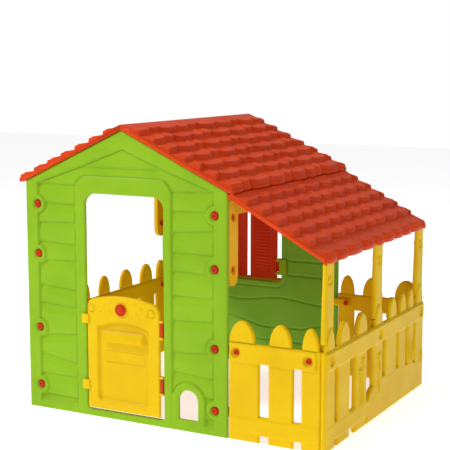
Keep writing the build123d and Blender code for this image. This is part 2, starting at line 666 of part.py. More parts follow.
def planter():
    """An open trough for play flowers, hung below the window outside."""
    inside = PLANTER_WALL
    trough = box(PLANTER_X, PLANTER_Y, PLANTER_Z)
    hollow = ((PLANTER_X[0] + inside, PLANTER_X[1] - inside), (PLANTER_Y[0] + inside, PLANTER_Y[1] - inside),
              (PLANTER_Z[0] + inside, PLANTER_Z[1] + 1))
    parts["window_planter"] = trough - box(*hollow)


def build():
    plan_bolts()
    front_wall()
    back_wall()
    side_headers()
    porch_end_fences()
    porch_side_fence()
    left_fence()
    porch_posts()
    main_roof()
    porch_roof()
    door_leaf()
    door_knob()
    door_hinges()
    shutters()
    planter()
    make_fasteners()


build()
whole = Compound([Solid(solid.wrapped) for part in parts.values() for solid in part.solids()])
bounds = whole.bounding_box()
CENTRE_X = (bounds.min.X + bounds.max.X) / 2
CENTRE_Y = (bounds.min.Y + bounds.max.Y) / 2
print("centre of the footprint in the maker's frame", CENTRE_X, CENTRE_Y)
os.makedirs("parts", exist_ok=True)
for node, part in parts.items():
    placed = Pos(-CENTRE_X, -CENTRE_Y, 0) * part
    export_step(placed, "parts/" + node + ".step")
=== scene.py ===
# %% [markdown]
# # A moulded plastic playhouse
#
# The real house is a kit of hollow panels, blow moulded in coloured polyethylene and bolted together with
# round plastic screws. What makes it look moulded is soft: every edge is rounded, the planks are shallow
# steps, the roof tiles are one wavy skin. So each panel is worked out here as a height over a flat outline,
# and the small hard parts come straight from the CAD frame with a better finish.

# %% The frame and the tools
import json
import math

import bpy
import numpy as np
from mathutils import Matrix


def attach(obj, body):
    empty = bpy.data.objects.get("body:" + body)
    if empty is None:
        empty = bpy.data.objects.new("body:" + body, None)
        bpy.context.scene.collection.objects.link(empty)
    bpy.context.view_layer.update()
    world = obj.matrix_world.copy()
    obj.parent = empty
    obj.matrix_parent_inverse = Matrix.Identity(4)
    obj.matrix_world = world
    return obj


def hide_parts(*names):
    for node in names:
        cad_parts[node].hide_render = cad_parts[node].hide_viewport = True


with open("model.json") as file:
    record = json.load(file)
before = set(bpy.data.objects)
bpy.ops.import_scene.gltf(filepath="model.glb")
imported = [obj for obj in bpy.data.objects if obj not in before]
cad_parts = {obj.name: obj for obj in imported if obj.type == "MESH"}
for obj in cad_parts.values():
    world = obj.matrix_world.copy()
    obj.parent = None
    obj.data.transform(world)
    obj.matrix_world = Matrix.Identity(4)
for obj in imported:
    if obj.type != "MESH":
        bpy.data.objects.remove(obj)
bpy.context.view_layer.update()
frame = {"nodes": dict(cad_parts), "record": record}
nodes = frame["nodes"]

# %% [markdown]
# ## Measuring in the maker's own millimetres
#
# A maker measures such a house from the left end of its front wall. Everything below is worked out in those
# millimetres, and one function moves it to the frame, whose origin is the middle of the footprint.

# %% The maker's frame
CENTRE = np.array([641.5, 549.0, 0.0])
HOUSE_W, HOUSE_D = 910.0, 1050.0
EAVE_Z, APEX_Z = 921.0, 1133.0
MID_X = HOUSE_W / 2
WALL_T, FENCE_T = 16.0, 20.0
SIDE_X = 1304.0


def to_frame(points):
    """Maker's millimetres to metres in the frame: the centre is taken away and the rest divided by 1000."""
    return (np.asarray(points, float) - CENTRE) / 1000


print("the front wall's left foot is at", to_frame((0, 0, 0)), "m")

# %% [markdown]
# ## Colours and nodes
#
# Colours are written as sRGB hex, the way a colour chart gives them, and one function turns them to linear
# light. A second one adds a node with its settings and links, so a material reads from top to bottom.

# %% Colours and nodes


def linear(code):
    """An sRGB hex colour as linear light: each channel divided by 12.92 when dark, else a power of 2.4."""
    channels = [int(code[i : i + 2], 16) / 255 for i in (1, 3, 5)]
    light = [c / 12.92 if c <= 0.04045 else ((c + 0.055) / 1.055) ** 2.4 for c in channels]
    return (*light, 1.0)


def add(tree, kind, settings=(), links=()):
    """Adds a node, sets its inputs or properties by name, and links (output socket, input name) pairs."""
    node = tree.nodes.new(kind)
    for name, value in dict(settings).items():
        if name in node.inputs:
            node.inputs[name].default_value = value
        else:
            setattr(node, name, value)
    for socket, name in links:
        tree.links.new(socket, node.inputs[name])
    return node


print("mid grey in linear light is", round(linear("#808080")[0], 3))

# %% [markdown]
# ## Moulded plastic
#
# Blow-moulded polyethylene is coloured all the way through and has a fine satin skin, copied from a blasted
# mould. It is slightly waxy, so its highlights are broad. A single flat colour would look like paint, so
# each plastic gets a slow drift in tone, as from resin that cooled unevenly, and a fine grain in the bump.
# The real grain is about 0.3 mm, too fine to show, so it is drawn at 1.5 mm.

# %% Moulded plastic
PLASTIC_IOR = 1.5
WAXY_SHEEN = 0.10
WAX, WAX_DEPTH_MM = 0.15, 3.0
GRAIN_MM, GRAIN_HEIGHT_MM = 1.5, 0.4
DRIFT_MM, DRIFT_FROM, DRIFT_TO = 160.0, 0.30, 0.62
SCUFF_MM, SCUFF_FROM, SCUFF_TO = 28.0, 0.3, 0.7
GLOSSIER, DULLER = 0.05, 0.07
WARM_GLOW = (1.0, 0.35, 0.08)


def moulded_plastic(name, body, shade, roughness, grain=0.10, glow=WARM_GLOW):
    """A plastic whose tone drifts between two hex colours, with patches in its gloss and a fine grain."""
    material = bpy.data.materials.new(name)
    material.use_nodes = True
    tree = material.node_tree
    surface = tree.nodes["Principled BSDF"]
    surface.inputs["IOR"].default_value = PLASTIC_IOR
    surface.inputs["Specular IOR Level"].default_value = WAXY_SHEEN
    surface.inputs["Subsurface Weight"].default_value = WAX
    surface.inputs["Subsurface Radius"].default_value = glow
    surface.inputs["Subsurface Scale"].default_value = WAX_DEPTH_MM / 1000
    place = add(tree, "ShaderNodeTexCoord").outputs["Object"]
    drift = add(tree, "ShaderNodeTexNoise", {"Scale": 1000 / DRIFT_MM, "Detail": 3.0}, [(place, "Vector")])
    tone = add(tree, "ShaderNodeValToRGB", (), [(drift.outputs["Fac"], "Fac")])
    for stop, position, colour in zip(tone.color_ramp.elements, (DRIFT_FROM, DRIFT_TO), (shade, body)):
        stop.position = position
        stop.color = linear(colour)
    scuff = add(tree, "ShaderNodeTexNoise", {"Scale": 1000 / SCUFF_MM, "Detail": 4.0}, [(place, "Vector")])
    limits = {"From Min": SCUFF_FROM, "From Max": SCUFF_TO}
    limits |= {"To Min": roughness - GLOSSIER, "To Max": roughness + DULLER}
    gloss = add(tree, "ShaderNodeMapRange", limits, [(scuff.outputs["Fac"], "Value")])
    skin = add(tree, "ShaderNodeTexNoise", {"Scale": 1000 / GRAIN_MM, "Detail": 2.0}, [(place, "Vector")])
    height = {"Strength": grain, "Distance": GRAIN_HEIGHT_MM / 1000}
    bump = add(tree, "ShaderNodeBump", height, [(skin.outputs["Fac"], "Height")])
    tree.links.new(tone.outputs["Color"], surface.inputs["Base Color"])
    tree.links.new(gloss.outputs["Result"], surface.inputs["Roughness"])
    tree.links.new(bump.outputs["Normal"], surface.inputs["Normal"])
    return material


# %% The plastics of this house
LIME_GLOW, PAINTED_SHADE_LIME_GLOW = (0.45, 1.0, 0.12), (0.4, 1.0, 0.15)
# walls, blow moulded: to the eye they are soft and a little waxy, with no sharp highlight anywhere
LIME = moulded_plastic("lime_polyethylene_blow_moulded", "#8FBA22", "#87B21F", 0.40, glow=LIME_GLOW)
# the wall with the window: the same lime skin in a deeper copy, painted shade so that its shaded side does
# not go yellow
LIME_PAINTED_SHADE = moulded_plastic(
    "lime_polyethylene_with_painted_shade", "#7DBB3A", "#76B336", 0.40, glow=PAINTED_SHADE_LIME_GLOW
)
# fences, posts and door, blow moulded: a warm yellow that glows at thin edges, as light gets into it
YELLOW = moulded_plastic("yellow_polyethylene_blow_moulded", "#E9C209", "#E2B707", 0.38)
# roofs, blow moulded: the same satin skin in orange red, where soft shade tells the rows of tiles apart
TERRACOTTA = moulded_plastic("terracotta_polyethylene_blow_moulded", "#DC4613", "#D13E10", 0.34)
# screws, knob and shutters, injection moulded: a polished mould leaves a tighter gloss and little grain
CORAL = moulded_plastic("red_polypropylene_injection_moulded", "#D03A1B", "#C63417", 0.32, grain=0.03)
print("plastics", [m.name for m in (LIME, LIME_PAINTED_SHADE, YELLOW, TERRACOTTA, CORAL)])

# %% [markdown]
# ## Zinc-plated steel
#
# The small hinge screws are steel with a bright zinc plating. To the eye it is a pale grey metal, slightly
# blue, with a blurred reflection, because the plating is a layer of tiny crystals. A fine noise in the bump
# gives that blur. Crystals are finer than a tenth of a millimetre, so they are drawn at 1.4 mm.

# %% Zinc-plated steel
ZINC_GRAIN_MM, ZINC_HEIGHT_MM = 10 / 7, 0.3
ZINC = bpy.data.materials.new("zinc_plated_steel")
ZINC.use_nodes = True
zinc_tree = ZINC.node_tree
zinc_surface = zinc_tree.nodes["Principled BSDF"]
zinc_surface.inputs["Base Color"].default_value = linear("#B9BCC0")
zinc_surface.inputs["Metallic"].default_value = 1.0
zinc_surface.inputs["Roughness"].default_value = 0.38
zinc_place = add(zinc_tree, "ShaderNodeTexCoord").outputs["Object"]
zinc_grain = add(zinc_tree, "ShaderNodeTexNoise", {"Scale": 1000 / ZINC_GRAIN_MM}, [(zinc_place, "Vector")])
zinc_height = {"Strength": 0.08, "Distance": ZINC_HEIGHT_MM / 1000}
zinc_bump = add(zinc_tree, "ShaderNodeBump", zinc_height, [(zinc_grain.outputs["Fac"], "Height")])
zinc_tree.links.new(zinc_bump.outputs["Normal"], zinc_surface.inputs["Normal"])
print("metal", ZINC.name)

# %% [markdown]
# ## Carried-over parts get the real finish
#
# The headers, hinges, brackets, pins and nuts are right as the CAD draws them, so only their finish changes.
# A finish is a material and the slot that it stands for.

# %% Finish the CAD parts
# the shaded wall's finish is the lime copy with painted shade, on the same lime_plastic slot
LIME_WALL, SHADED_WALL = (LIME, "lime_plastic"), (LIME_PAINTED_SHADE, "lime_plastic")
YELLOW_PANEL, ROOF_SKIN = (YELLOW, "yellow_plastic"), (TERRACOTTA, "roof_plastic")
RED_FITTING, STEEL = (CORAL, "red_plastic"), (ZINC, "screw_steel")
material_of = {slot: material for material, slot in (LIME_WALL, YELLOW_PANEL, ROOF_SKIN, RED_FITTING, STEEL)}
for part in frame["record"]["subparts"]:
    piece = nodes[part["node"]]
    piece.data.materials.clear()
    piece.data.materials.append(material_of[part["material_slot"]])
print("finished", len(nodes), "CAD parts")

# %% [markdown]
# ## Distances to outlines
#
# A panel's outline is described by a signed distance: how far a point is from the edge, negative inside.
# Distances combine simply. The nearer of two joins shapes, and the farther of one and minus the other cuts
# one from the other. The same number then rounds the rim, sinks a groove or raises a rail.

# %% Distance helpers


def box_distance(u, v, left, right, low, high, radius=0.0):
    """Distance to a rectangle: how far outside each side, from the middle, less the corner radius."""
    du = np.abs(u - (left + right) / 2) - (right - left) / 2 + radius
    dv = np.abs(v - (low + high) / 2) - (high - low) / 2 + radius
    outside = np.hypot(np.maximum(du, 0), np.maximum(dv, 0))
    return outside + np.minimum(np.maximum(du, dv), 0) - radius


def disc_distance(u, v, cu, cv, radius):
    """Distance to a disc: to its centre, less the radius."""
    return np.hypot(u - cu, v - cv) - radius


def oval_distance(u, v, cu, cv, a, b):
    """Distance to an ellipse, nearly: its own equation divided by how fast that changes."""
    k = np.maximum(np.hypot((u - cu) / a, (v - cv) / b), 1e-6)
    change = np.maximum(np.hypot((u - cu) / a**2, (v - cv) / b**2), 1e-9) / k
    return (k - 1) / change


def segment_distance(u, v, start, end):
    """Distance to a straight line between two points: to the nearest point that lies between its ends."""
    (u0, v0), (u1, v1) = start, end
    du, dv = u1 - u0, v1 - v0
    along = np.clip(((u - u0) * du + (v - v0) * dv) / (du * du + dv * dv), 0, 1)
    return np.hypot(u - u0 - along * du, v - v0 - along * dv)


print("the middle of a 10 mm box is", box_distance(0, 0, -5, 5, -5, 5), "mm from its edge")

# %% [markdown]
# ## Soft steps, channels and rims
#
# A mould has no sharp corners, because plastic would tear there. So every step is an S-shaped ramp, every
# line is a rounded channel, and every edge is a quarter circle. Each is a function of one distance.

# %% Relief helpers


def ease(x):
    """Rises smoothly from 0 to 1 as x does: three x squared less two x cubed."""
    x = np.clip(x, 0, 1)
    return x * x * (3 - 2 * x)


def plateau(distance, soft):
    """1 inside an outline and 0 outside it, changing over a soft edge of that width just inside."""
    return ease(-distance / soft)


def groove(distance, half_width):
    """1 on a line, falling to 0 at half_width to either side of it, as a rounded channel does."""
    return 1 - ease(np.abs(distance) / half_width)


def rim(distance, radius):
    """How far a quarter-round edge falls back from the face: all of the radius at the edge itself."""
    inside = np.clip(radius + distance, 0, radius)
    return radius - np.sqrt(np.maximum(radius**2 - inside**2, 0))


print("a 5 mm rim has fallen back", round(float(rim(-1.0, 5.0)), 2), "mm when it is 1 mm from the edge")

# %% [markdown]
# ## Putting a piece into the scene
#
# Points and faces are worked out as whole arrays and handed to the mesh at once, which is far quicker than
# adding them one by one. The piece rides on its body, so it moves when that joint does.

# %% The piece maker
pieces_made = []


def finish_piece(name, points, faces, body, finish, stands_for=(), flat=False):
    """Puts an array of maker's points and lists of faces into a mesh that rides on a body."""
    material, slot = finish
    sizes = np.concatenate([np.full(len(f), f.shape[1]) for f in faces])
    corners = np.concatenate([f.ravel() for f in faces]).astype(np.int32)
    mesh = bpy.data.meshes.new(name)
    mesh.vertices.add(len(points))
    mesh.vertices.foreach_set("co", to_frame(points).astype(np.float32).ravel())
    mesh.loops.add(len(corners))
    mesh.loops.foreach_set("vertex_index", corners)
    mesh.polygons.add(len(sizes))
    mesh.polygons.foreach_set("loop_start", np.concatenate([[0], np.cumsum(sizes)[:-1]]).astype(np.int32))
    mesh.polygons.foreach_set("use_smooth", np.full(len(sizes), not flat))
    mesh.update(calc_edges=True)
    mesh.validate()
    mesh.materials.append(material)
    piece = bpy.data.objects.new(name, mesh)
    bpy.context.scene.collection.objects.link(piece)
    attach(piece, body)
    if stands_for:
        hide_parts(*stands_for)
    triangles = int((sizes - 2).sum())
    pieces_made.append((name, triangles))
    print(name, triangles, "triangles")


# %% [markdown]
# ## A panel as two heights over one outline
#
# A grid is laid over the outline. Points near the edge slide onto it along the steepest way, so the edge
# is smooth and not stepped. The front and back faces take their depth from two functions, and a strip joins
# them round every edge, so the panel is closed. Booleans would leave ragged grooves and sharp rims instead.

# %% Sliding the grid onto the outline
NEAR_CELLS, SLIDE_CELLS, MIDDLE_CELLS = 0.5, 0.8, 0.3
PROBE_MM = 0.1
SLIDES = 3


def fitted_grid(outline, span, step):
    """A grid over a span, with each point within half a cell of the outline moved onto it.

    A point moves by its distance along the slope of that distance, three times over. The slope is the
    difference between two probes. Returns the moved grid, which points are kept and their distance inside.
    """
    (left, right), (low, high) = span
    across = np.linspace(left, right, int(round((right - left) / step)) + 1)
    up = np.linspace(low, high, int(round((high - low) / step)) + 1)
    grid_u, grid_v = np.meshgrid(across, up)
    u, v = grid_u.copy(), grid_v.copy()
    near = np.abs(outline(u, v)) < NEAR_CELLS * step
    for _ in range(SLIDES):
        d = outline(u, v)
        gu = (outline(u + PROBE_MM, v) - outline(u - PROBE_MM, v)) / (2 * PROBE_MM)
        gv = (outline(u, v + PROBE_MM) - outline(u, v - PROBE_MM)) / (2 * PROBE_MM)
        length = np.maximum(np.hypot(gu, gv), 0.3)
        u = np.where(near, u - d * gu / length**2, u)
        v = np.where(near, v - d * gv / length**2, v)
    # a point that slid too far would fold its faces, so it may move less than one cell
    u = grid_u + np.clip(u - grid_u, -SLIDE_CELLS * step, SLIDE_CELLS * step)
    v = grid_v + np.clip(v - grid_v, -SLIDE_CELLS * step, SLIDE_CELLS * step)
    kept = outline(grid_u, grid_v) < NEAR_CELLS * step
    inside = np.minimum(np.where(near, 0.0, outline(u, v)), 0.0)
    return u, v, kept, inside


def cells(u, v, kept, outline, step):
    """Faces of the kept cells: quads, and triangles where one corner fell outside."""
    index = np.arange(u.size).reshape(u.shape)
    ring = np.stack([index[:-1, :-1], index[:-1, 1:], index[1:, 1:], index[1:, :-1]], -1).reshape(-1, 4)
    held = kept.ravel()[ring]
    middle = outline(u.ravel()[ring].mean(1), v.ravel()[ring].mean(1)) < MIDDLE_CELLS * step
    quads = ring[held.all(1) & middle]
    three = ring[(held.sum(1) == 3) & middle]
    which = np.argmin(kept.ravel()[three], axis=1)
    turn = (which[:, None] + np.array([1, 2, 3])) % 4
    return quads, np.take_along_axis(three, turn, axis=1)


def border(quads, triangles, total):
    """The directed edges that only one face uses: those whose pair of points occurs once."""
    sides = [quads[:, [i, (i + 1) % 4]] for i in range(4)]
    sides += [triangles[:, [i, (i + 1) % 3]] for i in range(3)]
    edges = np.concatenate(sides)
    key = edges.min(1).astype(np.int64) * total + edges.max(1)
    _, where, count = np.unique(key, return_index=True, return_counts=True)
    return edges[where[count == 1]]


# %% The panel maker


def relief(outline, span, step, front, back):
    """Points and faces of a panel over an outline: every point is (across, up, depth), in front or behind.

    span is ((left, right), (low, high)). front and back take across, up and the distance to the edge.
    """
    u, v, kept, inside = fitted_grid(outline, span, step)
    quads, triangles = cells(u, v, kept, outline, step)
    total = u.size
    edge = border(quads, triangles, total)
    flat = u.ravel(), v.ravel(), inside.ravel()
    face = np.stack([*flat[:2], front(*flat)], 1)
    behind = np.stack([*flat[:2], back(*flat)], 1)
    strip = np.stack([edge[:, 1], edge[:, 0], edge[:, 0] + total, edge[:, 1] + total], 1)
    faces = [quads, triangles, quads[:, ::-1] + total, triangles[:, ::-1] + total, strip]
    used = np.unique(np.concatenate([f.ravel() for f in faces]))
    renumber = np.full(2 * total, -1)
    renumber[used] = np.arange(len(used))
    return np.concatenate([face, behind])[used], [renumber[f] for f in faces if len(f)]


def facing_front(points):
    """(across, up, depth) as x, z, y: a panel whose face looks to the front."""
    return points[:, [0, 2, 1]]


def facing_right(points):
    """(across, up, depth) as y, z, x: a panel whose face looks to the right."""
    return points[:, [2, 0, 1]]


def panel(name, facing, outline, span, step, depths, finish, stands_for=(), body="house"):
    """A panel between its front and back depth functions, turned to face the front or the right."""
    points, faces = relief(outline, span, step, *depths)
    finish_piece(name, facing(points), faces, body, finish, stands_for)


def slab(name, facing, span, depths, corner, edge, step, body="house"):
    """A yellow block between two depths, with rounded corners and a quarter-round rim on both faces."""
    (left, right), (low, high) = span
    inward = 1 if depths[1] > depths[0] else -1

    def outline(u, v):
        return box_distance(u, v, left, right, low, high, corner)

    def near(u, v, d):
        return depths[0] + inward * rim(d, edge)

    def far(u, v, d):
        return depths[1] - inward * rim(d, edge)

    panel(name, facing, outline, span, step, (near, far), YELLOW_PANEL, body=body)


print("panels are cut on a grid and slid onto their outline")

# %% [markdown]
# ## Front wall: its outline
#
# The gable has straight sides and two slopes. The doorway has round corners at its head and square ones at
# its sill. The pet hole is a round arch. Both are cut from the gable's distance.

# %% Front wall outline
DOORWAY, DOORWAY_R = (284, 636, 30, 885), 45
SQUARE_BELOW_Z = 120
PET_X, PET_SPRING_Z, PET_R, PET_FOOT_Z = 742, 119, 41, 45


def gable_distance(u, v):
    """Distance to the gable's outline: the farthest past any of its sides, its floor and its two slopes."""
    slope = (APEX_Z - EAVE_Z) / MID_X
    roof = (v - EAVE_Z - slope * (MID_X - np.abs(u - MID_X))) / math.hypot(1, slope)
    return np.maximum.reduce([-u, u - HOUSE_W, -v, roof])


def doorway_distance(u, v):
    """The nearer of the whole opening with round corners and its lower part with square ones."""
    left, right, sill, _ = DOORWAY
    opening = box_distance(u, v, *DOORWAY, DOORWAY_R)
    return np.minimum(opening, box_distance(u, v, left, right, sill, SQUARE_BELOW_Z))


def pet_arch_distance(u, v, radius, foot):
    """The nearer of a disc and the upright box below its middle."""
    box = box_distance(u, v, PET_X - radius, PET_X + radius, foot, PET_SPRING_Z)
    return np.minimum(disc_distance(u, v, PET_X, PET_SPRING_Z, radius), box)


def front_outline(u, v):
    """The gable with the doorway and the pet hole taken away."""
    hole = pet_arch_distance(u, v, PET_R, PET_FOOT_Z)
    return np.maximum.reduce([gable_distance(u, v), -doorway_distance(u, v), -hole])


print("the front wall is", HOUSE_W, "mm wide and", APEX_Z, "mm high at its peak")

# %% [markdown]
# ## Front wall: its relief
#
# One shallow field of planks is sunk inside a raised border. The door's moulded frame, the ring round the
# pet hole and a round pad at each bolt stay proud of it. The planks overlap like boards on a barn: each
# lower edge is a soft step, and the face below it slowly comes forward again. The boards are deliberately not
# quite level, which gives the wall its toy look.

# %% The sunk field
BOLT_X, BOLT_Z = (55.0, 855.0), (831.0, 632.0, 333.0, 97.0)
WALL_BOLTS = [(x, z) for x in BOLT_X for z in BOLT_Z]
PAD_R = 33.0
FIELD_IN, FIELD_FOOT_Z = 55, 30
SHOULDER, KNEE, PEAK = (55, 919), (265, 991), (456, 1064)
DOOR_FRAME, DOOR_FRAME_R = (240, 669, -200, 948), 52
PET_RING_R, PET_RING_FOOT_Z = 69, -100


def discs_distance(u, v, places, radius):
    """Distance to the nearest of several discs of one radius."""
    return np.minimum.reduce([disc_distance(u, v, x, z, radius) for x, z in places])


def past_slope(u, v, start, end):
    """Distance above the straight slope through two points: the height above it, measured square to it."""
    slope = (end[1] - start[1]) / (end[0] - start[0])
    return (v - start[1] - slope * (u - start[0])) / math.hypot(1, slope)


def field_distance(u, v):
    """Distance to the sunk field: inside the border's lines, and outside the frame, ring and pads."""
    run = MID_X - np.abs(u - MID_X)
    slopes = np.minimum(past_slope(run, v, SHOULDER, KNEE), past_slope(run, v, KNEE, PEAK))
    field = np.maximum.reduce([FIELD_IN - run, FIELD_FOOT_Z - v, slopes])
    door_frame = box_distance(u, v, *DOOR_FRAME, DOOR_FRAME_R)
    ring = pet_arch_distance(u, v, PET_RING_R, PET_RING_FOOT_Z)
    return np.maximum.reduce([field, -door_frame, -ring, -discs_distance(u, v, WALL_BOLTS, PAD_R)])


print("the field is", FIELD_IN, "mm in from the wall's ends")

# %% The planks
PLANKS_LEFT = (
    (919, 917), (844, 840), (764, 771), (687, 681), (612, 619), (512, 501),
    (440, 431), (309, 324), (232, 204), (150, 149), (64, 64),
)
PLANKS_RIGHT = (
    (914, 921), (843, 848), (762, 779), (688, 688), (618, 614), (524, 527),
    (429, 439), (305, 320), (233, 218), (150, 142), (64, 64),
)
PEAK_LINE = ((991, 991),)
LEFT_RUN, RIGHT_RUN, PEAK_RUN = (60, 240), (670, 853), (262, 648)
LEDGE_MM, PLANK_FADE_MM = 4.0, 42.0
OVERRUN_MM, END_MM, PEAK_END_MM = 4, 5.0, 60.0


def plank_lines(u, v, lines, run, end_mm=END_MM):
    """Overlapping planks: 1 just under each plank's lower edge, fading to 0 over the plank below.

    An edge is a straight line from a height on the left of its run to one on the right.
    """
    left, right = run
    depth = np.zeros_like(u)
    along = np.clip((u - left) / (right - left), 0, 1)
    across = ease((u - left + OVERRUN_MM) / end_mm) * ease((right + OVERRUN_MM - u) / end_mm)
    for z_left, z_right in lines:
        below = z_left + (z_right - z_left) * along - v
        ledge = np.minimum(below / LEDGE_MM, 1) * np.clip(1 - below / PLANK_FADE_MM, 0, 1)
        depth = np.maximum(depth, np.where(below > 0, ledge, 0) * across)
    return depth


def side_planks(u, v):
    """The planks on both sides of the wall's middle, which never share a place."""
    return plank_lines(u, v, PLANKS_LEFT, LEFT_RUN) + plank_lines(u, v, PLANKS_RIGHT, RIGHT_RUN)


print("planks", len(PLANKS_LEFT), "on the left and", len(PLANKS_RIGHT), "on the right")

# %% Front wall
WALL_STEP = 4.0
RIM_R, FACE_RIM = 5.0, 0.9
FIELD_DEPTH, CHANNEL_DEPTH, BORDER_DEPTH = 5.0, 8.0, 4.0
FIELD_SOFT, CHANNEL_IN, BORDER_HALF = 4.0, 3, 4.5
PAD_RING_R, PAD_RING_DEPTH, PAD_RING_HALF = 26.0, 1.4, 3.0
SINK_R, WALL_SINK, SINK_SOFT = 20.0, 8.0, 2.0


def bolt_seat(u, v, places):
    """1 on the flat floor of every bolt's round seat, and 0 outside it."""
    return plateau(discs_distance(u, v, places, SINK_R), SINK_SOFT)


def wall_front(u, v, d):
    """Depth of the wall's face: the sunk field, its channels, the seats of the bolts and the rounded rim."""
    inside = field_distance(u, v)
    planks = side_planks(u, v) + plank_lines(u, v, PEAK_LINE, PEAK_RUN, PEAK_END_MM)
    channels = CHANNEL_DEPTH * np.minimum(planks, 1) * plateau(inside + CHANNEL_IN, FIELD_SOFT)
    border_line = BORDER_DEPTH * groove(inside + BORDER_HALF, BORDER_HALF)
    sunk = FIELD_DEPTH * plateau(inside, FIELD_SOFT) + np.maximum(channels, border_line)
    ring = PAD_RING_DEPTH * groove(discs_distance(u, v, WALL_BOLTS, PAD_RING_R), PAD_RING_HALF)
    return np.maximum(sunk + ring, WALL_SINK * bolt_seat(u, v, WALL_BOLTS)) + rim(d, RIM_R) * FACE_RIM


def wall_back(u, v, d):
    """The flat back, with a rounded rim."""
    return WALL_T - rim(d, RIM_R)


WALL_SPAN = ((0, HOUSE_W), (0, APEX_Z))
panel(
    "front_wall_moulded", facing_front, front_outline, WALL_SPAN, WALL_STEP,
    (wall_front, wall_back), LIME_WALL, ("front_wall",),
)

# %% [markdown]
# ## Back wall
#
# The same gable with a window. Its inner face shows through the porch, with long wavy channels and a raised
# rim round the window. Its outer face has planks like the front. Both faces are worked out on one grid, and
# their depths together stay under the wall's thickness, so they never meet.

# %% The window and the wavy channels
WINDOW, WINDOW_R = (278, 632, 394, 752), 28
WAVES = (
    ((64, 296), (280, 322), (414, 300), (630, 322), (839, 303)),
    ((64, 209), (356, 219), (570, 180), (720, 186), (840, 209)),
)
LEVEL_Z, LEVEL_FROM, LEVEL_TO = (920, 845, 770, 690, 610, 497, 430, 121), 64, 846


def window_distance(u, v):
    """Distance to the window's opening, a rectangle with round corners."""
    return box_distance(u, v, *WINDOW, WINDOW_R)


def back_outline(u, v):
    """The gable with the window taken away."""
    return np.maximum(gable_distance(u, v), -window_distance(u, v))


def wavy(u, v, points):
    """Distance above a smooth wave through a few heights: cosine steps from each to the next."""
    xs, zs = np.array(points, float).T
    k = np.clip(np.searchsorted(xs, u) - 1, 0, len(xs) - 2)
    t = np.clip((u - xs[k]) / (xs[k + 1] - xs[k]), 0, 1)
    height = zs[k] + (zs[k + 1] - zs[k]) * (1 - np.cos(math.pi * t)) / 2
    return v - height


print("the window is", WINDOW[1] - WINDOW[0], "by", WINDOW[3] - WINDOW[2], "mm")

# %% Back wall
BACK_STEP = 4.2
BACK_INNER_Y = 1034
LINE_DEPTH, LINE_HALF, LINES_FROM, LINES_TO, CLEAR_OF_WINDOW = 7.0, 5.5, 60, 850, 30
WINDOW_RING_DEPTH, WINDOW_RING_OUT = 5.0, 26
BACK_FIELD_DEPTH, BACK_CHANNEL_DEPTH = 3.0, 3.5
BACK_BORDER, WINDOW_FRAME = 62, 40
MIDDLE_RUN = (244, 666)


def back_inner(u, v, d):
    """Depth of the inner face: the deeper of the channels and the moulded rim round the window."""
    lines = np.zeros_like(u)
    level = [((LEVEL_FROM, z), (LEVEL_TO, z)) for z in LEVEL_Z]
    clear = ease((window_distance(u, v) - CLEAR_OF_WINDOW) / END_MM)
    across = ease((u - LINES_FROM) / END_MM) * ease((LINES_TO - u) / END_MM) * clear
    for points in (*WAVES, *level):
        lines = np.maximum(lines, groove(wavy(u, v, points), LINE_HALF) * across)
    ring = groove(window_distance(u, v) - WINDOW_RING_OUT, LINE_HALF)
    return BACK_INNER_Y + np.maximum(LINE_DEPTH * lines, WINDOW_RING_DEPTH * ring) + rim(d, RIM_R)


def back_outer(u, v, d):
    """Depth of the outer face: the front wall's plank field, mirrored, round a window's frame."""
    run = MID_X - np.abs(u - MID_X)
    sides = [FIELD_IN - run, FIELD_FOOT_Z - v, gable_distance(u, v) + BACK_BORDER]
    inside = np.maximum.reduce([*sides, WINDOW_FRAME - window_distance(u, v)])
    inside = np.maximum(inside, -discs_distance(u, v, WALL_BOLTS, PAD_R))
    middle = plank_lines(u, v, [(z, z) for _, z in PLANKS_LEFT], MIDDLE_RUN)
    planks = np.minimum(side_planks(u, v) + middle, 1)
    channels = BACK_CHANNEL_DEPTH * planks * plateau(inside + CHANNEL_IN, FIELD_SOFT)
    sunk = BACK_FIELD_DEPTH * plateau(inside, FIELD_SOFT) + channels
    return HOUSE_D - np.maximum(sunk, WALL_SINK * bolt_seat(u, v, WALL_BOLTS)) - rim(d, RIM_R) * FACE_RIM


# the back wall wears the lime copy with painted shade
panel(
    "back_wall_moulded", facing_front, back_outline, WALL_SPAN, BACK_STEP,
    (back_inner, back_outer), SHADED_WALL, ("back_wall",),
)

# %% [markdown]
# ## Picket fences
#
# Each fence is one moulding: uneven planks with bullet tips behind a proud rail. A union of the planks'
# outlines gives the shape, and the quarter-round rim gives the fat, soft edge that such pickets have. The
# side fence also has a low bank of hills with grass blades and a few flowers in relief.

# %% Picket shapes
RAIL, LOW_RAIL = (298.0, 370.0), (28.0, 100.0)
TIP_BASE, TIP_TOP = 370.0, 453.0
PLANK_TOP, SHOULDER_FROM = 340, 310
FRONT_PICKETS = ((914, 1039, 969, 53), (1077, 1176, 1124, 45), (1208, 1284, 1242, 33))
SIDE_PICKETS = (
    (0, 90, 50, 36), (116, 231, 179, 48), (286, 399, 350, 48), (469, 566, 525, 38),
    (598, 722, 680, 40), (746, 834, 797, 36), (856, 927, 893, 32), (949, 1050, 1001, 38),
)
HILLS = ((399, 96), (470, 138), (584, 156), (640, 142), (733, 152), (860, 140), (960, 128), (1050, 112))


def picket_distance(u, v, start, end, tip, half):
    """A plank up to the rail, a narrower shoulder behind it and the upper half of an ellipse on that."""
    plank = box_distance(u, v, start, end, 0, PLANK_TOP)
    shoulder = box_distance(u, v, tip - half, tip + half, SHOULDER_FROM, TIP_BASE)
    cap = np.maximum(oval_distance(u, v, tip, TIP_BASE, half, TIP_TOP - TIP_BASE), TIP_BASE - v)
    return np.minimum.reduce([plank, shoulder, cap])


def hill_distance(u, v, hills):
    """Distance below the hills' crest, a smooth wave through a few heights that starts at the first."""
    points = sorted((float(a), float(b)) for a, b in hills)
    return np.maximum.reduce([wavy(u, v, points), points[0][0] - u, u - points[-1][0], -v])


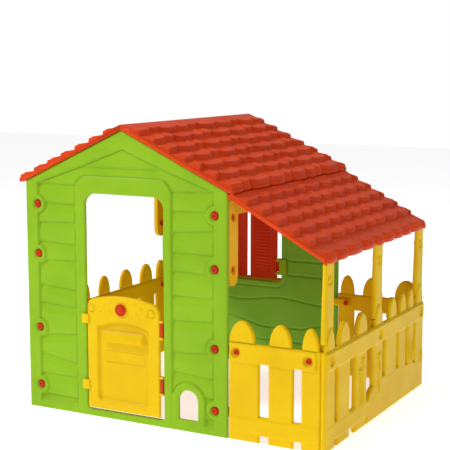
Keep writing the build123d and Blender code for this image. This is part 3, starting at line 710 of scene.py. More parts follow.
def fence_outline(pickets, hills=()):
    """The union of the pickets, the two rails and the hills, as one distance function."""
    start, end = pickets[0][0], pickets[-1][1]

    def distance(u, v):
        parts = [picket_distance(u, v, *picket) for picket in pickets]
        parts += [box_distance(u, v, start, end, *rail) for rail in (RAIL, LOW_RAIL)]
        if hills:
            parts.append(hill_distance(u, v, hills))
        return np.minimum.reduce(parts)

    return distance


print("pickets", len(FRONT_PICKETS), "in front and", len(SIDE_PICKETS), "at the side")

# %% Rails and seats
FENCE_RIM = 7.0
RAIL_PROUD, RAIL_R, RAIL_SOFT = 6.0, 12, 4.0
LOW_RAIL_IN, LOW_RAIL_R, LOW_RAIL_SOFT = 6, 10, 5.0
FENCE_SINK, FENCE_BOLT_Z = 3.0, 334.0


def rail_proud(u, v, left, right):
    """1 on the rail's flat face, falling over its softly rounded border."""
    return plateau(box_distance(u, v, left, right, *RAIL, RAIL_R), RAIL_SOFT)


def low_rail_proud(u, v, left, right):
    """1 on the low rail's face, which is smaller than the rail all round."""
    low, high = LOW_RAIL
    band = box_distance(u, v, left, right, low + LOW_RAIL_IN, high - LOW_RAIL_IN, LOW_RAIL_R)
    return plateau(band, LOW_RAIL_SOFT)


def with_seats(u, v, d, face, places):
    """A fence's relief with its bolts' seats sunk into it, less the rounded rim."""
    seat = bolt_seat(u, v, [(place, FENCE_BOLT_Z) for place in places])
    return face * (1 - seat) - FENCE_SINK * seat - rim(d, FENCE_RIM)


print("rails stand", RAIL_PROUD, "mm proud")

# %% [markdown]
# ## Porch front and back fences
#
# The back one is the front one turned half round, with one bolt moved. Two flat tabs on each reach behind
# the gable wall to its bolts.

# %% Porch front and back fences
PORCH_SPAN = (914, 1284)
PORCH_STEP = 3.6
PORCH_RAIL, PORCH_LOW_RAIL, PORCH_LOW_PROUD = (919, 1270), (919, 1280), 2.0
FRONT_BOLTS, BACK_BOLTS = (946, 1237), (961, 1237)


def porch_fence(name, bolts, face_y, outward, pickets, stands_for):
    """One porch end panel. outward is -1 where its rail looks to the front and 1 where it looks back."""

    def face_out(u, v, d):
        low = PORCH_LOW_PROUD * low_rail_proud(u, v, *PORCH_LOW_RAIL)
        face = np.maximum(RAIL_PROUD * rail_proud(u, v, *PORCH_RAIL), low)
        return face_y + outward * with_seats(u, v, d, face, bolts)

    def face_in(u, v, d):
        return face_y - outward * (FENCE_T - rim(d, FENCE_RIM))

    depths = (face_out, face_in) if outward < 0 else (face_in, face_out)
    span = (PORCH_SPAN, (0, TIP_TOP))
    panel(name, facing_front, fence_outline(pickets), span, PORCH_STEP, depths, YELLOW_PANEL, stands_for)


turned_pickets = tuple(sorted((sum(PORCH_SPAN) - b, sum(PORCH_SPAN) - a, sum(PORCH_SPAN) - t, h)
                              for a, b, t, h in FRONT_PICKETS))
porch_fence("porch_front_fence_moulded", FRONT_BOLTS, 0.0, -1, FRONT_PICKETS, ("porch_front_fence",))
porch_fence("porch_back_fence_moulded", BACK_BOLTS, HOUSE_D, 1, turned_pickets, ("porch_back_fence",))

# %% Tabs behind the gable walls
TAB_X, TAB_HALF_H = (838, 974), 17
TABS = {"upper": 333.0, "lower": 97.0}
for which, tab_y in (("front", (18.0, 33.0)), ("back", (1017.0, 1032.0))):
    for level, z in TABS.items():
        tab = (TAB_X, (z - TAB_HALF_H, z + TAB_HALF_H))
        slab(f"porch_{which}_tongue_{level}", facing_front, tab, tab_y, corner=8, edge=3.0, step=4.0)

# %% [markdown]
# ## Side fences
#
# The porch's side fence looks right, with its rail and its relief outside. The house's left fence is the
# same moulding turned round, so the same functions serve both, with the places counted from the other end.

# %% Flowers, grass and leaves
FLOWERS = ((328, 226, 20), (356, 266, 17), (525, 244, 20))
BLADES = ((846, 150, 838, 236), (872, 150, 870, 250), (898, 150, 908, 244), (922, 148, 940, 228))
LEAVES = ((920, 171, 13, 26), (1024, 134, 14, 30))
PETALS, PETAL_DEPTH, HEART_R, HEART_RAISE = 5, 0.22, 6.0, 1.25
STEM_HALF, STEM_FOOT_Z, STEM_LEAN = 3.5, 100, 4
LEAF_SOFT, STEM_SOFT = 4.0, 3.0
BLADE_HALF, BLADE_TIP_HALF = 5.5, 1.5
VEIN_HALF, VEIN_DEPTH = 2.5, 0.5


def meadow(u, v, mirror):
    """Relief of flowers, stems, grass blades and leaves, mostly from 0 to 1. A flower is a wavy circle."""
    u = HOUSE_D - u if mirror else u
    shapes = []
    for cu, cv, size in FLOWERS:
        angle = np.arctan2(v - cv, u - cu)
        petals = np.hypot(u - cu, v - cv) - size * (1 - PETAL_DEPTH + PETAL_DEPTH * np.cos(PETALS * angle))
        stem = segment_distance(u, v, (cu, cv - size), (cu - STEM_LEAN, STEM_FOOT_Z)) - STEM_HALF
        heart = plateau(disc_distance(u, v, cu, cv, HEART_R), STEM_SOFT) * HEART_RAISE
        shapes += [plateau(petals, LEAF_SOFT), heart, plateau(stem, STEM_SOFT)]
    for u0, v0, u1, v1 in BLADES:
        taper = BLADE_HALF * (1 - np.clip((v - v0) / (v1 - v0), 0, 1)) + BLADE_TIP_HALF
        shapes.append(plateau(segment_distance(u, v, (u0, v0), (u1, v1)) - taper, STEM_SOFT))
    for cu, cv, a, b in LEAVES:
        leaf = oval_distance(u, v, cu, cv, a, b)
        shapes.append(plateau(leaf, LEAF_SOFT) - VEIN_DEPTH * groove(u - cu, VEIN_HALF) * (leaf < 0))
    return np.maximum.reduce([np.zeros_like(u), *shapes])


print("the side fence has", len(FLOWERS), "flowers and", len(BLADES), "blades of grass")

# %% Side fence relief
FENCE_STEP = 4.0
BANK_PROUD, BANK_SOFT, SIDE_LOW_PROUD = 1.6, 7.0, 1.5
MEADOW_PROUD, RELIEF_LIMIT, CLEAR_OF_RAIL = 6.0, 6.0, 4


def side_proud(u, v, d, bolts, hills, mirror, ends, rail_in):
    """How far the outer face stands out: rails, hills and meadow, less the bolts' seats and the rim."""
    start, end = ends
    bank = BANK_PROUD * plateau(hill_distance(u, v, hills), BANK_SOFT)
    low = SIDE_LOW_PROUD * low_rail_proud(u, v, start + LOW_RAIL_IN, end - LOW_RAIL_IN)
    raised = np.minimum(np.maximum(bank, low) + MEADOW_PROUD * meadow(u, v, mirror), RELIEF_LIMIT)
    rail = RAIL_PROUD * rail_proud(u, v, start + rail_in, end - rail_in)
    return with_seats(u, v, d, np.maximum(rail, raised * (v < RAIL[0] - CLEAR_OF_RAIL)), bolts)


print("the relief stands up to", RELIEF_LIMIT, "mm proud, level with the rail")

# %% Porch side fence
SIDE_BOLTS = (45.0, 525.0, 1005.0)
POST_SPANS = ((9.0, 81.0), (489.0, 561.0), (969.0, 1041.0))
SIDE_RAIL_IN = 10.0
POCKET_DEPTH, POCKET_FROM_Z, POCKET_PLAY = 14.8, 395, 1


def side_outer(u, v, d):
    """The outer face, with the rail, the hills and the flowers."""
    return SIDE_X + side_proud(u, v, d, SIDE_BOLTS, HILLS, False, (0, HOUSE_D), SIDE_RAIL_IN)


def side_inner(u, v, d):
    """The inner face, set forward where the three posts stand behind the picket tips."""
    behind = [((u > a - POCKET_PLAY) & (u < b + POCKET_PLAY)) * POCKET_DEPTH for a, b in POST_SPANS]
    pocket = np.maximum.reduce(behind)
    return SIDE_X - FENCE_T + rim(d, FENCE_RIM) * (pocket == 0) + np.where(v > POCKET_FROM_Z, pocket, 0.0)


panel(
    "porch_side_fence_moulded", facing_right, fence_outline(SIDE_PICKETS, HILLS),
    ((0, HOUSE_D), (0, TIP_TOP)), FENCE_STEP, (side_outer, side_inner), YELLOW_PANEL, ("porch_side_fence",),
)

# %% [markdown]
# ## Left fence
#
# It closes the room between the gable walls, so its first and last planks are cut short, and a flange behind
# each gable wall takes the wall's lowest bolts.

# %% Left fence
Y_LOW, Y_HIGH = WALL_T, HOUSE_D - WALL_T
LEFT_BOLTS = (50.0, 525.0, 1000.0)
LEFT_RAIL_IN = 6.0
left_pickets = []
for start, end, tip, half in SIDE_PICKETS:
    near, far = max(HOUSE_D - end, Y_LOW), min(HOUSE_D - start, Y_HIGH)
    left_pickets.append((near, far, HOUSE_D - tip, min(half, HOUSE_D - tip - near, far - HOUSE_D + tip)))
left_pickets.sort()
left_hills = sorted((max(HOUSE_D - y, Y_LOW), z) for y, z in HILLS)


def left_outer(u, v, d):
    """The outer face, which looks left, so its relief counts downwards."""
    return -side_proud(u, v, d, LEFT_BOLTS, left_hills, True, (Y_LOW, Y_HIGH), LEFT_RAIL_IN)


def left_inner(u, v, d):
    """The plain inner face, with a rounded rim."""
    return FENCE_T - rim(d, FENCE_RIM)


panel(
    "left_fence_moulded", facing_right, fence_outline(left_pickets, left_hills),
    ((Y_LOW, Y_HIGH), (0, TIP_TOP)), FENCE_STEP, (left_inner, left_outer), YELLOW_PANEL, ("left_fence",),
)
FLANGE = ((20, 88), (0, 370))
for which, flange_y in (("front", (16.4, 33.6)), ("back", (1016.4, 1033.6))):
    slab(f"left_fence_{which}_flange", facing_front, FLANGE, flange_y, corner=8, edge=4.0, step=5.0)

# %% [markdown]
# ## Porch posts
#
# A post is a plank that thickens downwards and stands on a block behind the side fence. Its two long edges
# are rounded generously and catch the light as bands. Round the bolt is a shallow ring, and just above the
# fence a faint arch follows the picket tip in front of it. The corner posts also have a wing behind the
# porch's front or back fence, so that they are held from two sides. The hidden blocks are plain.

# %% Post planks
POST_FACE, POST_BACK, POST_TAPER = 1299.0, 1276, 7
POST_FOOT_Z, POST_HEAD_Z, TAPER_TO_Z = 396, 691, 694
POST_STEP, POST_R, POST_RIM = 3.0, 4, 6.0
BAND_OUT, BAND_HALF, POST_LINE_DEPTH = 25, 4.0, 1.6
POST_BOLT_Z, POST_RING_R, POST_RING_HALF, POST_SINK = 628, 23, 3.5, 5.0
ARCH_HALF_W, ARCH_RISE, ARCH_HALF, ARCH_DEPTH, ARCH_FROM_Z = 40, 88, 3.0, 1.8, 430


def post_plank(name, start, end, tip, stands_for):
    """A plank between two heights. Its front is nearly flat, and its back slopes out towards the foot."""
    middle = (start + end) / 2

    def outline(u, v):
        return box_distance(u, v, start, end, POST_FOOT_Z, POST_HEAD_Z, POST_R)

    def front(u, v, d):
        band = POST_LINE_DEPTH * groove(np.abs(u - middle) - BAND_OUT, BAND_HALF)
        bolt = disc_distance(u, v, middle, POST_BOLT_Z, POST_RING_R)
        ring = POST_LINE_DEPTH * groove(bolt, POST_RING_HALF)
        seat = POST_SINK * plateau(bolt + POST_RING_R - SINK_R, SINK_SOFT)
        edge = oval_distance(u, v, tip, TIP_BASE, ARCH_HALF_W, ARCH_RISE)
        arch = ARCH_DEPTH * groove(edge, ARCH_HALF) * (v > ARCH_FROM_Z)
        return POST_FACE - np.maximum.reduce([band, ring, arch, seat]) - rim(d, POST_RIM)

    def back(u, v, d):
        slope = np.clip((v - POST_FOOT_Z) / (TAPER_TO_Z - POST_FOOT_Z), 0, 1)
        return POST_BACK + POST_TAPER * slope + rim(d, POST_RIM)

    span = ((start, end), (POST_FOOT_Z, POST_HEAD_Z))
    panel(name, facing_right, outline, span, POST_STEP, (front, back), YELLOW_PANEL, stands_for)


print("a post narrows by", POST_TAPER, "mm from its foot to its head")

# %% Posts, their feet and wings
FOOT_Z, FOOT_X = (230, 398), (1283.6, 1268.2)
WING = ((1215.5, 1283.6), (230, 366))
for (start, end), which, tip in zip(POST_SPANS, ("front", "middle", "rear"), (50, 525, 1001)):
    post_plank(f"porch_post_{which}_plank", start, end, tip, (f"porch_post_{which}",))
    foot = ((max(start, FENCE_T), min(end, HOUSE_D - FENCE_T)), FOOT_Z)
    slab(f"porch_post_{which}_foot", facing_right, foot, FOOT_X, corner=5, edge=3.0, step=4.0)
for which, wing_y in (("front", (20.4, 35.4)), ("rear", (1014.6, 1029.6))):
    slab(f"porch_post_{which}_wing", facing_front, WING, wing_y, corner=5, edge=3.0, step=4.0)

# %% [markdown]
# ## Tiled roofs
#
# Each roof panel is one skin. Across the slope it climbs in rows, with a riser at the foot of each. Seen
# from above, every riser's line is scalloped: each tile is a lobe whose lip swells forward, and the narrow
# tiles stand back from it. So the profile of one slice is worked out once, and each slice along the house
# slides its risers to and fro by the lobes. Neighbouring rows are shifted, as tiles are laid.

# %% The lobes
EAVE_LOBES = (0, 96, 174, 327, 464, 537, 662)
PORCH_LOBES = (18, 117, 219, 363, 493, 589, 701)
LOBE_SWELL, LOBE_ROUND, SET_BACK, WIDE = 17.0, 0.96, 9.0, 90.0
ROW_SHIFT_MM = 61.0
ROOF_Y, SLICES = (-4.0, 1054.0), 266
MARGIN, MARGIN_IN, MARGIN_SOFT = 17.0, 6, 8


def lobe_shift(y, marks, row):
    """How far a row's riser stands back from its foremost line at each place along the house.

    Each lobe is an arc: no shift at its middle and most of LOBE_SWELL at its ends. Narrow ones stand back
    further. The widths repeat along the house, and every row starts at another place.
    """
    widths = np.tile(np.diff(np.array(marks, float)), 2)
    places = np.concatenate([[0], np.cumsum(widths)])
    offset = 0.5 * widths.mean() * (row % 2) + ROW_SHIFT_MM * row - marks[0] * (row == 0)
    local = (y + offset) % places[-1]
    k = np.clip(np.searchsorted(places, local, side="right") - 1, 0, len(widths) - 1)
    t = 2 * (local - places[k]) / widths[k] - 1
    arc = LOBE_SWELL * (1 - np.sqrt(np.maximum(1 - LOBE_ROUND * t * t, 0)))
    return arc + SET_BACK * (widths[k] < WIDE)


def in_tiles(y):
    """0 on the smooth margins at both ends of the roof, and 1 between them."""
    near, far = ROOF_Y[0] + MARGIN - MARGIN_IN, ROOF_Y[1] - MARGIN + MARGIN_IN
    return ease((y - near) / MARGIN_SOFT) * ease((far - y) / MARGIN_SOFT)


print("tiles are", min(np.diff(EAVE_LOBES)), "to", max(np.diff(EAVE_LOBES)), "mm wide")

# %% The slices
TILE_FOOT, TILE_DROP, MARGIN_DROP = 17.5, 18.5, 13.5
RISER_RUN = 1.5
LIP = ((0.0, 0.0), (0.8, 0.5), (1.8, 0.86), (3.2, 0.97), (5.5, 1.0), (12.0, 0.9), (30.0, 0.6), (42.0, 0.4))


def tile_slices(base, first, pitch, rows, marks, nose, top, low_drop=TILE_DROP):
    """Points of every slice as an array (slices, profile points, 3): nose, then rows, then the ridge end.

    base gives the underside's height at x. A row starts at its riser's foot, rises to its lip, rounds over
    and falls away to the next riser. pitch is negative where the rows climb to the left.
    """
    y = np.linspace(*ROOF_Y, SLICES)
    sign = 1.0 if pitch > 0 else -1.0
    tiles = in_tiles(y)
    share = tiles + (1 - tiles) * MARGIN_DROP / TILE_DROP
    stand_back = lobe_shift(y, marks, 0) * tiles
    columns = [(x + sign * stand_back, np.full_like(y, z)) for x, z in nose]
    for row in range(rows):
        foot = first + row * pitch + sign * lobe_shift(y, marks, row) * tiles
        drop = (TILE_DROP if row else low_drop) * share
        if row:
            columns.append((foot - sign * RISER_RUN, base(foot) + TILE_FOOT))
        for out, part in LIP:
            x = foot + sign * out
            columns.append((x, base(x) + TILE_FOOT + drop * part))
    columns += [(np.full_like(y, x), np.full_like(y, z)) for x, z in top]
    xs, zs = (np.stack(values, 1) for values in zip(*columns))
    return np.stack([xs, np.repeat(y[:, None], xs.shape[1], 1), zs], 2)


def skin(slices, flip):
    """Faces of a closed tube of slices: quads between neighbouring slices, and a cap at each end."""
    count, ring = slices.shape[:2]
    index = np.arange(count * ring).reshape(count, ring)
    nxt = np.roll(index, -1, axis=1)
    quads = np.stack([index[:-1], nxt[:-1], nxt[1:], index[1:]], -1).reshape(-1, 4)
    faces = [quads, index[0][::-1][None, :], index[-1][None, :]]
    return [f[:, ::-1] for f in faces] if flip else faces


def roof_panel(name, slices, flip, stands_for):
    """One roof panel. flip turns its faces where the slices run the other way round."""
    finish_piece(name, slices.reshape(-1, 3), skin(slices, flip), "house", ROOF_SKIN, stands_for)


print("a roof is", SLICES, "slices, one every", round((ROOF_Y[1] - ROOF_Y[0]) / (SLICES - 1), 1), "mm")

# %% Main roof
MAIN_FIRST_X, MAIN_PITCH, MAIN_ROWS = -21.5, 66.0, 7
MAIN_NOSE = ((2.0, 921.9), (-19.0, 914.5), (-24.0, 915.0), (-26.4, 919.0), (-25.8, 930.0))
MAIN_TOP = ((MID_X - 0.3, APEX_Z + 20.5), (MID_X - 0.3, APEX_Z + 0.6))


def main_base(x):
    """Height of the main roof's underside: a straight slope from the eave to the peak."""
    return EAVE_Z + (APEX_Z - EAVE_Z) / MID_X * x


left_slices = tile_slices(main_base, MAIN_FIRST_X, MAIN_PITCH, MAIN_ROWS, EAVE_LOBES, MAIN_NOSE, MAIN_TOP)
right_slices = left_slices.copy()
right_slices[:, :, 0] = HOUSE_W - right_slices[:, :, 0]
roof_panel("roof_left_tiled", left_slices, False, ("roof_left",))
roof_panel("roof_right_tiled", right_slices, True, ("roof_right",))

# %% Porch roof
PORCH_FIRST_X, PORCH_PITCH, PORCH_ROWS, PORCH_LOW_DROP = 1299.5, -61.3, 6, 9.0
PORCH_NOSE = ((1290.0, 696.2), (1298.5, 684.2), (1302.3, 684.6), (1303.3, 690.0), (1302.8, 704.0))
PORCH_EAVE_X, PORCH_EAVE_Z, PORCH_SLOPE = 1294.0, 693.8, 0.545


def porch_base(x):
    """Height of the porch roof's underside: a straight slope up from its eave."""
    return PORCH_EAVE_Z + (PORCH_EAVE_X - x) * PORCH_SLOPE


PORCH_TOP = tuple((x, porch_base(x) + above) for x, above in ((934.0, 24.0), (912.5, 12.0), (912.5, 0.5)))
porch_slices = tile_slices(
    porch_base, PORCH_FIRST_X, PORCH_PITCH, PORCH_ROWS, PORCH_LOBES, PORCH_NOSE, PORCH_TOP, PORCH_LOW_DROP
)
roof_panel("porch_roof_tiled", porch_slices, True, ("porch_roof",))

# %% [markdown]
# ## Half door
#
# An arched leaf with a sunk panel whose top is arched too. A letter hood with a sloping roof stands
# proud of it, and a groove draws a plain card below that. Two round pegs flank the knob, among small moulded
# leaves.

# %% Door outline
LEAF, LEAF_FOOT_Z = (289.0, 619.0), 36.0
LEAF_SHOULDER_Z, LEAF_CROWN_Z, SHOULDER_R, ARCH_SHARE = 467.0, 493.0, 38.0, 0.62


def crown(u, rise, side, left, right):
    """Height of a shallow arch: the circle through two points at side and a top that is rise above them."""
    half = (right - left) / 2
    radius = (half * half + rise * rise) / (2 * rise)
    offset = np.clip(u - (left + right) / 2, -half, half)
    return side + rise - radius + np.sqrt(radius**2 - offset**2)


def leaf_outline(u, v):
    """Straight sides under a shallow arch. The shoulders are rounded by swelling a smaller leaf."""
    inner = (LEAF[0] + SHOULDER_R, LEAF[1] - SHOULDER_R)
    rise = (LEAF_CROWN_Z - LEAF_SHOULDER_Z) * ARCH_SHARE
    sides = np.maximum(inner[0] - u, u - inner[1])
    arch = v - crown(u, rise, LEAF_CROWN_Z - SHOULDER_R - rise, *inner)
    swollen = np.hypot(np.maximum(sides, 0), np.maximum(arch, 0)) + np.minimum(np.maximum(sides, arch), 0)
    square = np.maximum.reduce([LEAF[0] - u, u - LEAF[1], LEAF_FOOT_Z - v])
    return np.maximum(swollen - SHOULDER_R, square)


print("the door is", LEAF[1] - LEAF[0], "by", LEAF_CROWN_Z - LEAF_FOOT_Z, "mm")

# %% Door relief
LEAF_STEP, LEAF_FACE_Y, LEAF_BACK_Y, LEAF_RIM = 3.0, -4.0, 14.0, 6.0
PANEL_X, PANEL_Z, PANEL_R, PANEL_RISE, PANEL_SPRING_Z = (335, 573), (70, 500), 22, 26, 369
PANEL_DEPTH, PANEL_SOFT = 11.0, 6.0
HOOD, HOOD_R, HOOD_SOFT = (363, 549, 310, 352), 4, 3.2
HOOD_PROUD, HOOD_LIP, HOOD_FALL_MM = 2.0, 7.5, 40
CARD, CARD_R, CARD_DEPTH, CARD_HALF = (369, 550, 228, 274), 5, 3.0, 2.6
PEGS, PEG_R, PEG_RAISE, PEG_SOFT = ((311, 437), (585, 439)), 13, 2.5, 6.0
MOAT_OUT, MOAT_DEPTH, MOAT_HALF = 2.5, 4.5, 4.2
KNOB_X, KNOB_Z = 448.0, 441.0
KNOB_RING_R, KNOB_RING_DEPTH, KNOB_RING_HALF = 27, 1.5, 3.0
SPRAYS = ((372, 452, 12, 5), (392, 430, 5, 11), (350, 424, 10, 5), (398, 466, 11, 4), (352, 462, 9, 4))
SPRAY_MIDDLE, SPRAY_RAISE, SPRAY_SOFT = 454, 2.4, 3.5


def sunk_panel(u, v):
    """The sunk panel: straight sides, round corners and an arched top."""
    sides = box_distance(u, v, *PANEL_X, *PANEL_Z, PANEL_R)
    return np.maximum(sides, (v - crown(u, PANEL_RISE, PANEL_SPRING_Z, *PANEL_X)) * 0.97)


def leaf_sprays(u, v):
    """Small moulded leaves on both sides of the knob: ovals from 0 to 1, mirrored about the middle."""
    u = SPRAY_MIDDLE - np.abs(u - SPRAY_MIDDLE)
    return np.maximum.reduce([plateau(oval_distance(u, v, *leaf), SPRAY_SOFT) for leaf in SPRAYS])


def leaf_front(u, v, d):
    """The sunk panel, a hood that falls back to the face at its top, the card, the pegs and the leaves."""
    sunk = PANEL_DEPTH * plateau(sunk_panel(u, v), PANEL_SOFT)
    hood = plateau(box_distance(u, v, *HOOD, HOOD_R), HOOD_SOFT)
    fall = np.clip((HOOD[3] - v) / HOOD_FALL_MM, 0, 1)
    card = CARD_DEPTH * groove(box_distance(u, v, *CARD, CARD_R), CARD_HALF)
    pegs = discs_distance(u, v, PEGS, PEG_R)
    moats = MOAT_DEPTH * groove(pegs - MOAT_OUT, MOAT_HALF)
    raised = PEG_RAISE * plateau(pegs, PEG_SOFT) - moats + SPRAY_RAISE * leaf_sprays(u, v)
    seat = KNOB_RING_DEPTH * groove(disc_distance(u, v, KNOB_X, KNOB_Z, KNOB_RING_R), KNOB_RING_HALF)
    face = LEAF_FACE_Y + sunk - hood * (sunk + HOOD_PROUD + HOOD_LIP * fall)
    return face + card - raised + seat + rim(d, LEAF_RIM)


def leaf_back(u, v, d):
    """The flat back, with a rounded rim."""
    return LEAF_BACK_Y - rim(d, LEAF_RIM)


panel(
    "door_leaf_moulded", facing_front, leaf_outline, (LEAF, (LEAF_FOOT_Z, LEAF_CROWN_Z)), LEAF_STEP,
    (leaf_front, leaf_back), YELLOW_PANEL, ("door_leaf",), "half_door",
)

# %% [markdown]
# ## Stops and hinge ears
#
# Two tabs on the left of the leaf close against the wall's face, so the door opens outwards only. Four ears
# on the right hold it to its hinge clips. They are small blocks with round rims.

# %% Stops and hinge ears
STOP_X, STOP_Y = (267, 300), (-11.0, -0.5)
EAR_X, EAR_Y = (616, 633.5), (-2.0, 12.0)
STOP_HEIGHTS = ((374, 411), (110, 148))
EAR_HEIGHTS = ((341.5, 351.5), (406.5, 416.5), (123.5, 133.5), (188.5, 198.5))
SMALL_STEP = 2.0
for i, z in enumerate(STOP_HEIGHTS):
    slab(f"door_stop_{i + 1}", facing_front, (STOP_X, z), STOP_Y, 4.0, 3.0, SMALL_STEP, "half_door")
for i, z in enumerate(EAR_HEIGHTS):
    slab(f"door_ear_{i + 1}", facing_front, (EAR_X, z), EAR_Y, 3.0, 2.0, SMALL_STEP, "half_door")

# %% [markdown]
# ## Turned parts
#
# The knob and the round screws are shapes of revolution: a profile of radii and heights carried round an
# axis. The screw has a flat flange, a ring groove, a low dome and a small dimple where the tool fits.

# %% Revolve


def turned(profile, centre, outward, sides=32):
    """Points and faces of a profile of (radius, height) carried round an axis, closed at both poles.

    outward names the side that the heights point to: front, back, left or right.
    """
    profile = np.array(profile, float)
    angle = np.linspace(0, 2 * math.pi, sides, endpoint=False)
    ring_u = profile[:, 0, None] * np.cos(angle)
    ring_v = profile[:, 0, None] * np.sin(angle)
    height = np.repeat(profile[:, 1, None], sides, 1)
    x, y, z = centre
    place = {
        "front": (x + ring_u, y - height, z + ring_v),
        "back": (x - ring_u, y + height, z + ring_v),
        "right": (x + height, y + ring_u, z + ring_v),
        "left": (x - height, y - ring_u, z + ring_v),
    }[outward]
    points = np.stack([p.ravel() for p in place], 1)
    index = np.arange(points.shape[0]).reshape(-1, sides)
    nxt = np.roll(index, -1, axis=1)
    quads = np.stack([index[:-1], nxt[:-1], nxt[1:], index[1:]], -1).reshape(-1, 4)
    return points, [quads, index[0][::-1][None, :], index[-1][None, :]]


print("a turned ring has", len(turned(((1, 0), (2, 1)), (0, 0, 0), "front")[0]) // 2, "points")

# %% Screws
SCREW_HEAD = (
    (6.0, -3.0), (15.4, -3.0), (16.0, -2.4), (16.0, -0.6), (15.0, 0.0), (13.6, -1.6), (12.4, -1.6),
    (11.6, 2.2), (10.0, 4.4), (7.6, 5.6), (5.6, 5.8), (4.6, 5.0), (4.0, 1.6), (1.0, 1.2),
)
SHANK_R, NUT_REACH, SCREW_SUNK, SCREW_SIDES = 6.0, 7.8, 2.0, 24


def screw_set(node, places, outward, grip, finish):
    """All the screws of one panel as one mesh. grip is how much the shank holds together."""
    profile = [(SHANK_R, -(grip + NUT_REACH))] + [(r, h - SCREW_SUNK) for r, h in SCREW_HEAD]
    all_points, quads, caps, count = [], [], [], 0
    for place in places:
        points, (sides, foot, head) = turned(profile, place, outward, SCREW_SIDES)
        all_points.append(points)
        quads.append(sides + count)
        caps += [foot + count, head + count]
        count += len(points)
    faces = [np.concatenate(quads), np.concatenate(caps)]
    finish_piece(node + "_turned", np.concatenate(all_points), faces, "house", finish, (node,))


print("a screw head is", 2 * max(r for r, _ in SCREW_HEAD), "mm wide")

# %% Every panel's screws
WALL_HEAD_IN, LEG_HEAD_IN, RAIL_HEAD_IN = 3.0, 7.0, 1.0
WALL_GRIP, LEG_GRIP, RAIL_GRIP, LEFT_GRIP, POST_GRIP = 31.0, 11.0, 35.0, 19.0, 15.0
LEG_PLACES = [(y, z) for y in (50.0, 1000.0) for z in (826.0, 629.0)]


def along_front(places, y):
    """Bolts on a face that looks to the front or back, from their (x, z) places."""
    return [(x, y, z) for x, z in places]


def along_side(places, x):
    """Bolts on a face that looks left or right, from their (y, z) places."""
    return [(x, y, z) for y, z in places]


def rail_places(along):
    """Places on a rail, all at the fence bolts' height."""
    return [(place, FENCE_BOLT_Z) for place in along]


wall_back_y, fence_back_y = HOUSE_D - WALL_HEAD_IN, HOUSE_D - RAIL_HEAD_IN
side_fence_x, post_face_x = SIDE_X - RAIL_HEAD_IN, POST_FACE - WALL_HEAD_IN
front_rail, back_rail = rail_places(FRONT_BOLTS), rail_places(BACK_BOLTS)
left_rail, side_rail = rail_places(LEFT_BOLTS), rail_places(SIDE_BOLTS)
posts = [(y, POST_BOLT_Z) for y in SIDE_BOLTS]
SCREWS = (
    ("front_wall_bolts", along_front(WALL_BOLTS, WALL_HEAD_IN), "front", WALL_GRIP, RED_FITTING),
    ("back_wall_bolts", along_front(WALL_BOLTS, wall_back_y), "back", WALL_GRIP, RED_FITTING),
    ("right_header_bolts", along_side(LEG_PLACES, HOUSE_W - LEG_HEAD_IN), "right", LEG_GRIP, RED_FITTING),
    ("left_header_bolts", along_side(LEG_PLACES, LEG_HEAD_IN), "left", LEG_GRIP, RED_FITTING),
    ("porch_front_fence_bolts", along_front(front_rail, RAIL_HEAD_IN), "front", RAIL_GRIP, RED_FITTING),
    ("porch_back_fence_bolts", along_front(back_rail, fence_back_y), "back", RAIL_GRIP, RED_FITTING),
    ("left_fence_bolts", along_side(left_rail, RAIL_HEAD_IN), "left", LEFT_GRIP, RED_FITTING),
    ("porch_side_fence_bolts", along_side(side_rail, side_fence_x), "right", RAIL_GRIP, YELLOW_PANEL),
    ("porch_post_bolts", along_side(posts, post_face_x), "right", POST_GRIP, YELLOW_PANEL),
)
for screws in SCREWS:
    screw_set(*screws)

# %% Knob
KNOB = (
    (6.0, -27.5), (6.0, 0.0), (20.0, 0.0), (23.4, 1.2), (24.0, 3.4), (23.4, 5.6), (22.0, 6.2),
    (18.6, 3.0), (16.2, 2.6), (15.2, 4.8), (13.0, 7.4), (9.0, 9.2), (4.5, 9.9), (1.0, 10.0),
)
knob_points, knob_faces = turned(KNOB, (KNOB_X, LEAF_FACE_Y, KNOB_Z), "front", 48)
finish_piece("door_knob_turned", knob_points, knob_faces, "half_door", RED_FITTING, ("door_knob",))

# %% [markdown]
# ## Shutters
#
# A louvred field in a plain frame. The slats are a repeating slope, steep at one edge, which draws faint
# lines across the shutter. The left shutter is the right one mirrored, with its faces turned so that they
# look outwards.

# %% Shutters
SHUTTER = ((464, 600), (405, 745))
SHUTTER_INNER_Y, SHUTTER_OUTER_Y = 1054, 1068
SHUTTER_STEP, SHUTTER_R, SHUTTER_RIM = 2.5, 8, 3.5
LOUVRE_FIELD, LOUVRE_FROM_Z = (487, 573, 432, 718), 438
SLAT_MM, SLAT_RISE_SHARE, FIELD_SINK, SLAT_DEPTH = 15.0, 0.8, 1.0, 2.6


def shutter_outline(u, v):
    """A rectangle with small round corners."""
    return box_distance(u, v, *SHUTTER[0], *SHUTTER[1], SHUTTER_R)


def louvres(u, v):
    """Depth of the slats: grows steadily over four fifths of each and jumps back, faded at the border."""
    part = ((v - LOUVRE_FROM_Z) / SLAT_MM) % 1.0
    saw = np.where(part < SLAT_RISE_SHARE, part / SLAT_RISE_SHARE, (1 - part) / (1 - SLAT_RISE_SHARE))
    return (FIELD_SINK + SLAT_DEPTH * saw) * plateau(box_distance(u, v, *LOUVRE_FIELD, 3), 3.0)


def shutter_in(u, v, d):
    """The face that looks into the room."""
    return SHUTTER_INNER_Y + louvres(u, v) + rim(d, SHUTTER_RIM)


def shutter_out(u, v, d):
    """The face that looks outdoors."""
    return SHUTTER_OUTER_Y - louvres(u, v) - rim(d, SHUTTER_RIM)


def mirrored(points):
    """Points on the other side of the house's middle."""
    return points * np.array([-1, 1, 1]) + np.array([HOUSE_W, 0, 0])


